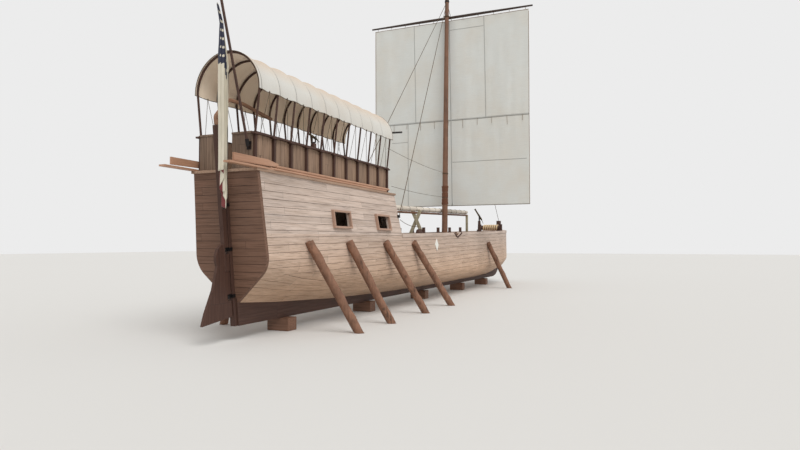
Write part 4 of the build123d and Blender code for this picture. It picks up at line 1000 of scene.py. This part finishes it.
class MakeSail(bpy.types.Operator):
    """Hang the square sail with its cloths, reef band, reef points and bolt rope"""
    bl_idname = "keelboat.sail"
    bl_label = "Sail"

    def execute(self, context):
        sizes = context.scene.keelboat_cloth
        low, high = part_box("sail")
        plane = (low.x + high.x) / 2
        head, foot = high.z - 0.004, low.z
        head_half = high.y
        reef = sizes.reef_height
        # The head hangs down a little between the robands in this depth
        scallop = 0.05

        def cloth_x(y, z):
            """Where the sail's folds bring a point, as its x."""
            drop = (head - z) / (head - foot)
            wave = sin(y * 5.1 + 0.5 * sin(z * 1.3)) * 0.5 + sin(y * 2.3 + z * 0.35 + 1) * 0.5
            ripple = noise.noise((y * 1.7, 3.1, z * 0.45)) + 0.5 * noise.noise((y * 5.5, 7.7, z * 0.8))
            depth = sizes.sail_fold * (0.25 + 0.75 * sin(pi * min(drop * 1.1, 1)))
            pull = 0.006 * cos(2 * pi * y / ROBAND_PITCH) * max(0, 1 - drop * 9)
            return plane + depth * (0.55 * wave + 0.9 * ripple) + pull

        def lift(y, z):
            """How far a point of the head hangs down between two robands."""
            if z <= head - scallop:
                return 0.0
            return -0.010 * (0.5 - 0.5 * cos(2 * pi * y / ROBAND_PITCH)) * (z - head + scallop) / scallop

        levels = [foot + (head - foot) * i / 150 for i in range(151)]
        levels += [foot + 0.03, foot + 0.06, head - 0.06]
        levels += [reef + away for away in (-0.05, -0.046, 0, 0.046, 0.05)]
        levels = sorted({round(z, 5) for z in levels})
        across = [i / 120 * head_half for i in range(-120, 121, 2)]
        rows = [[(cloth_x(y, z), y, z + lift(y, z)) for y in across] for z in levels]
        piece = surface("square_sail", rows)
        paint(piece, "sail")
        thicken(piece, 0.0016)
        fit(piece, "square_sail", "yard", ["sail"])

        # Seams of the cloths and the reef band, from y and z to y and z, with their widths
        top, bottom = head - 0.02, foot + 0.02
        sewn = (
            (1.127, top, 1.07, reef, 0.022), (-1.135, top, -1.183, reef, 0.022),
            (-0.04, top, -0.12, bottom, 0.026), (1.338, reef, 1.332, bottom, 0.02),
            (-1.12, 8.04, -0.05, 8.04, 0.02), (-2.4, 3.95, -0.13, 3.95, 0.02),
            (1.34, 4.66, 1.90, 4.66, 0.018), (-head_half + 0.01, reef, head_half - 0.01, reef, 0.055),
        )
        proud = 0.0018
        strips = []
        steps = 60
        for y0, z0, y1, z1, width in sewn:
            dy, dz = (0, width / 2) if z0 == z1 else (width / 2, 0)
            for face in (1, -1):
                rows = []
                for i in range(steps + 1):
                    y, z = y0 + (y1 - y0) * i / steps, z0 + (z1 - z0) * i / steps
                    x = cloth_x(y, z) + face * proud
                    rows.append([(x, y - dy, z - dz), (x, y + dy, z + dz)])
                strips.append(surface("seam", rows))
        seams = join(strips)
        thicken(seams, 0.0012)
        fit_all([seams], "sail_seam", "sail_seams", "yard")

        bolt_radius = 0.007
        cords = []
        for s, zs in ((-1, levels), (1, levels[::-1])):
            line = [(cloth_x(s * head_half, z), s * (head_half - 0.004), z) for z in zs[::3]]
            cords.append(rope("bolt_rope", line, bolt_radius))
        line = [(cloth_x(y, head), y, head - 0.012) for y in np.linspace(-head_half, head_half, 60)]
        cords.append(rope("bolt_rope", line, bolt_radius))
        point_radius = context.scene.keelboat_ropes.reef_point
        count = 11
        for i in range(count):
            y = head_half * 0.92 * (2 * i / (count - 1) - 1)
            for face in (1, -1):
                tip = reef - (0.22 + 0.05 * sin(i * 2.3 + face))
                start = (cloth_x(y, reef) + face * 0.008, y, reef)
                end = (cloth_x(y, tip) + face * 0.010, y + 0.012 * sin(i * 4.1), tip)
                cords.append(rope("reef_point", sagging(start, end, 0, 6), point_radius))
        lines = fit_all(cords, "rope", "sail_ropes", "yard")
        under = [(cloth_x(y, foot), y, foot + 0.006)
                 for y in np.linspace(-head_half + 0.01, head_half - 0.01, 60)]
        foot_rope = fit_all([rope("foot_rope", under, 0.008)], "dark_rope", "sail_foot_rope", "yard")
        return {"FINISHED"}


class MakeRigging(bpy.types.Operator):
    """Set up the stays and the thin lines, and bind the mast and the windlass"""
    bl_idname = "keelboat.rigging"
    bl_label = "Rigging"

    def execute(self, context):
        sizes = context.scene.keelboat_ropes
        low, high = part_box("stays")
        band = Vector((along(10.249), 0, 8.9))
        cords = []
        for end in ((low.x + 0.004, high.y - 0.006, 2.055), (low.x + 0.004, -high.y + 0.006, 2.055),
                    (high.x - 0.006, 0, 2.392)):
            start = band + (Vector(end) - band).normalized() * 0.075
            cords.append(rope("stay", sagging(start, end, 0, 60), sizes.stay))
        fit_all(cords, "dark_rope", "stay_ropes", replaces=["stays"])

        # Each thin line's two ends, its sag, its steps and its share of the usual radius
        lines = []
        for start, end, sag, steps, share in (
                ((along(4.73), -0.50, 3.53), (along(9.955), -0.055, 3.57), 0.05, 24, 0.7),
                ((along(4.93), -0.50, 2.72), (along(9.95), -0.085, 2.85), 0.04, 24, 0.7),
                ((along(4.91), -0.712, 1.98), (along(6.06), -0.70, 1.86), 0.05, 14, 1)):
            lines.append(rope("line", sagging(start, end, sag, steps), sizes.line * share))
        for z in (3.57, 2.85):
            centre = (along(9.931) + (z - 0.625) * MAST_RAKE, 0, z)
            hitch = coil(centre, MAST_AXIS, mast_radius(z) + 0.005, 0.03, 3, 18)
            lines.append(rope("hitch", hitch, sizes.line * 0.8))
        fit_all(lines, "dark_rope", "thin_lines")

        low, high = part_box("mast_woolding")
        middle = (low + high) / 2
        length = high.z - low.z - 0.012
        radius = mast_radius(middle.z) + 0.0062
        cords = []
        for share in (-1 / 3, 0, 1 / 3):
            centre = (middle.x + length * share * MAST_RAKE, 0, middle.z + length * share)
            cords.append(rope("woolding", coil(centre, MAST_AXIS, radius, 0.148, 12), sizes.woolding))
        for end in (-0.5, 0.5):
            centre = (middle.x + length * end * MAST_RAKE, 0, middle.z + length * end * 0.93)
            cords.append(rope("woolding", coil(centre, MAST_AXIS, radius + 0.006, 0.06, 3), 0.009))
        fit_all(cords, "woolding", "mast_binding", replaces=["mast_woolding"])

        # Two ropes lie side by side round the drum
        low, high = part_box("windlass_rope")
        drum = (high.z - low.z) / 2 - 0.04
        thick = 0.0145
        wound = []
        for beside in (-0.98, 0.98):
            centre = (low + high) / 2 + Vector((0, beside * thick, 0))
            turns = coil(centre, (0, 1, 0), drum + thick, high.y - low.y - 4 * thick, 7, 28, hand=-1)
            wound.append(rope("windlass_turns", turns, thick, sides=10))
        fit_all(wound, "windlass_rope", "windlass_turns", replaces=["windlass_rope"])
        return {"FINISHED"}


class MakeAwning(bpy.types.Operator):
    """Furl the awning on its pole and lash it"""
    bl_idname = "keelboat.awning"
    bl_label = "Furled awning"

    def execute(self, context):
        low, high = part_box("furled_awning")
        outer = (high.y - low.y) / 2
        middle_y = (high.y + low.y) / 2
        start = Vector((low.x + 0.004, middle_y, low.z + outer))
        end = Vector((high.x - 0.004, middle_y, high.z - outer))
        length = (end - start).length
        turns, steps, stations = 4, 18, 190
        first_tie, tie_pitch = 0.35, 0.5
        ties = [first_tie + tie_pitch * i for i in range(int((length - 0.4) / tie_pitch) + 1)]
        rows = []
        for i in range(stations + 1):
            here = start.lerp(end, i / stations)
            place = i / stations * length
            # The roll is drawn in towards each lashing
            pinch = min(abs(place - tie) for tie in ties)
            squeeze = 0.9 + 0.1 * min(1, pinch / 0.16) ** 0.7
            row = []
            for j in range(turns * steps + 1):
                turn = 2 * pi * j / steps
                depth = j / (turns * steps)
                wobble = noise.noise((place * 2.6, cos(turn) * 1.3, sin(turn) * 1.3 + depth * 4))
                fold = 0.05 * sin(3 * turn + place * 5)
                radius = outer * (0.30 + 0.62 * depth) * squeeze * (1 + 0.10 * wobble + fold * depth)
                radius = min(radius, outer * 0.985)
                row.append((here.x, here.y + radius * cos(turn), here.z + radius * sin(turn)))
            rows.append(row)
        piece = surface("furled_awning_cloth", rows)
        paint(piece, "awning")
        thicken(piece, 0.0016)
        fit(piece, "furled_awning_cloth", "hull", ["furled_awning"])
        cords = []
        for tie in ties:
            here = start.lerp(end, tie / length)
            cords.append(rope("lashing", coil(here, (1, 0, 0), outer * 0.88, 0.016, 2), 0.0035))
            loop = coil(here - Vector((0, 0, 0.014)), (1, 0, 0), outer * 0.93, 0.012, 1)
            cords.append(rope("lashing_loop", loop, 0.004))
        lashings = fit_all(cords, "lashing", "awning_lashings")
        return {"FINISHED"}


class MakeFlag(bpy.types.Operator):
    """Hang the limp flag from its staff in long folds"""
    bl_idname = "keelboat.flag"
    bl_label = "Flag"

    def execute(self, context):
        low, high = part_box("flag")
        middle_y = (low.y + high.y) / 2
        fly = high.z - low.z
        staff_lean = tan(radians(17.5))
        top_x = low.x + 0.075
        # The head of the cloth follows the staff for 0.25 m, and the rest hangs straight below it
        followed, gone_ahead = 0.25, 0.080
        across, down = 200, 110
        folds = 6.5
        rows = []
        for i in range(down + 1):
            drop = i / down
            spread = 0.25 + 0.75 * min(1, drop / 0.28)
            row = []
            for j in range(across + 1):
                s = j / across
                bottom = high.z - fly * (1 - 0.30 * abs(s - 0.62) ** 0.8 - 0.05 * sin(9 * s) ** 2)
                top = high.z - 0.002 - 0.20 * s
                z = top + (bottom - top) * drop
                drift = 0.006 * sin(3 * drop * pi + s * 2) + 0.02 * drop
                ahead = gone_ahead
                if z > high.z - followed:
                    ahead = min(gone_ahead, (high.z - z) * staff_lean)
                x = top_x + ahead - 0.085 + 0.125 * spread * s * (0.55 + 0.45 * min(1, drop * 3)) + drift
                phase = 2 * pi * s * folds + 1.4 * drop * sin(2.1 * s * pi)
                depth = 0.055 * spread * (1 - 0.2 * drop)
                y = middle_y + depth * sin(phase) + 0.004 * noise.noise((s * 6, drop * 9, 0.3))
                row.append((min(max(x, low.x + 0.002), high.x - 0.002), y, z))
            rows.append(row)
        piece = surface("limp_flag", rows)
        widths = mean_length(rows, 1)
        lengths = mean_length(rows, 0)
        FINISH["flag"] = bunting("flag_bunting", float(lengths), float(widths))
        paint(piece, "flag")
        thicken(piece, 0.0009)
        fit(piece, "limp_flag", "hull", ["flag"])
        return {"FINISHED"}


class MakeShores(bpy.types.Operator):
    """Turn the shores into rough debarked logs"""
    bl_idname = "keelboat.shores"
    bl_label = "Log shores"

    def execute(self, context):
        # How often a lump comes in a metre, and its share of the roughness
        lumps = ((4.2, 0.55), (13, 0.3), (34, 0.18))
        for side, sign in SIDES:
            piece = copy_of("shores_" + side)
            modify(piece, "REMESH", mode="VOXEL", voxel_size=0.016)
            mesh = piece.data
            mesh.update()
            moved = []
            for vertex in mesh.vertices:
                place, normal = vertex.co, vertex.normal
                rough = sum(noise.noise(place * often) * share for often, share in lumps)
                knot = max(0, noise.noise(place * 6 + Vector((9, 4, 2))) - 0.35) * 1.2
                amount = min(-0.014 + 0.022 * rough + 0.018 * knot, -0.0005)
                # The foot on the ground and the head on the hull stay as they are
                if place.z < 0.004 or normal.y * sign < -0.8:
                    amount = 0
                moved.append(place + normal * amount)
            for vertex, place in zip(mesh.vertices, moved):
                vertex.co = (place.x, place.y, max(place.z, 0.0))
            for face in mesh.polygons:
                face.use_smooth = True
            paint(piece, "log")
            fit(piece, "log_shores_" + side, "hull", ["shores_" + side])
        return {"FINISHED"}


class MakeIronwork(bpy.types.Operator):
    """Fit the iron bar at the front hoop"""
    bl_idname = "keelboat.ironwork"
    bl_label = "Ironwork"

    def execute(self, context):
        bar = block((along(5.055), -0.533, 3.923), (0.764, 0.03, 0.04), radians(11))
        pick_faces(bar, lambda c, n: n.x > 0.9)
        bpy.ops.mesh.inset(thickness=0.008)
        bpy.ops.mesh.extrude_region_move(TRANSFORM_OT_translate={"value": (0.02, 0, 0)})
        leave_edit()
        ease(bar, 0.003)
        fit_all([bar], "iron", "front_bar")
        return {"FINISHED"}


class MakeStudio(bpy.types.Operator):
    """Lay the pale floor and set the soft light and the camera"""
    bl_idname = "keelboat.studio"
    bl_label = "Studio"

    def execute(self, context):
        place = context.scene.keelboat_studio
        take()
        bpy.ops.mesh.primitive_plane_add(size=160, location=(0, 0, 0))
        floor = context.object
        floor.name = "studio_floor"
        pale = Surface("studio_floor", 0.9)
        pale.shader["Base Color"].default_value = clear(context.scene.keelboat_finishes.floor)
        FINISH["floor"] = pale.material
        paint(floor, "floor")

        # The world lights the boat softly, and the camera sees a plain backdrop
        world = bpy.data.worlds.new("studio_light")
        world.use_nodes = True
        context.scene.world = world
        world.node_tree.nodes.clear()
        nodes = Nodes(world.node_tree)
        rays = nodes.add("LightPath").outputs
        indirect = nodes.sums("MAXIMUM", rays["Is Glossy Ray"], rays["Is Transmission Ray"])
        seen = nodes.sums("MAXIMUM", rays["Is Camera Ray"], indirect)
        light = nodes.add("Background", {0: (1, 1, 1, 1), 1: place.sky})
        shown = nodes.add("Background", {0: clear(card(236, 236, 236)), 1: 1.0})
        both = nodes.add("MixShader", {0: seen, 1: light.outputs[0], 2: shown.outputs[0]})
        nodes.add("OutputWorld", {0: both.outputs[0]})

        bpy.ops.object.light_add(type="SUN", location=(-6, -10, 14))
        sun = context.object
        sun.data.energy = place.sun
        sun.data.angle = radians(40)
        sun.rotation_euler = Vector((0.50, 0.62, -0.95)).to_track_quat("-Z", "Y").to_euler()

        bpy.ops.object.camera_add(location=place.eye)
        camera = context.object
        level = cos(place.rise)
        view = (cos(place.heading) * level, sin(place.heading) * level, sin(place.rise))
        camera.rotation_euler = Vector(view).to_track_quat("-Z", "Y").to_euler()
        camera.data.lens = place.lens
        camera.data.sensor_width = 36
        camera.data.sensor_fit = "HORIZONTAL"
        camera.data.clip_end = 200
        context.scene.camera = camera
        context.scene.view_settings.view_transform = "Standard"
        return {"FINISHED"}


GROUPS = {
    "keelboat_planking": PlankingSizes,
    "keelboat_cloth": ClothSizes,
    "keelboat_ropes": RopeSizes,
    "keelboat_finishes": Finishes,
    "keelboat_studio": StudioPlace,
}
OPERATORS = (MakeFinishes, MakePlanking, MakeNotchShadeStrips, MakeTimbers, MakeTilt, MakeTies, MakeSail,
             MakeRigging, MakeAwning, MakeFlag, MakeShores, MakeIronwork, MakeStudio)


class KeelboatPanel(bpy.types.Panel):
    """The boat's operators and sizes in the sidebar."""
    bl_idname = "VIEW3D_PT_keelboat"
    bl_label = "Keelboat"
    bl_space_type = "VIEW_3D"
    bl_region_type = "UI"
    bl_category = "Keelboat"

    def draw(self, context):
        layout = self.layout
        for operator in OPERATORS:
            layout.operator(operator.bl_idname)
        for name in GROUPS:
            sizes = getattr(context.scene, name)
            box = layout.box()
            for key in sizes.__annotations__:
                box.prop(sizes, key)


CLASSES = (*GROUPS.values(), *OPERATORS, KeelboatPanel)


def register():
    for part in CLASSES:
        bpy.utils.register_class(part)
    for name, group in GROUPS.items():
        setattr(bpy.types.Scene, name, PointerProperty(type=group))


def unregister():
    for name in GROUPS:
        delattr(bpy.types.Scene, name)
    for part in reversed(CLASSES):
        bpy.utils.unregister_class(part)


def main():
    register()
    bpy.ops.keelboat.finishes()
    bpy.ops.keelboat.planking()
    bpy.ops.keelboat.notch_lining()
    bpy.ops.keelboat.timbers()
    bpy.ops.keelboat.tilt()
    bpy.ops.keelboat.ties()
    bpy.ops.keelboat.sail()
    bpy.ops.keelboat.rigging()
    bpy.ops.keelboat.awning()
    bpy.ops.keelboat.flag()
    bpy.ops.keelboat.shores()
    bpy.ops.keelboat.ironwork()
    bpy.ops.keelboat.studio()
    leave_edit()


if __name__ == "__main__":
    main()
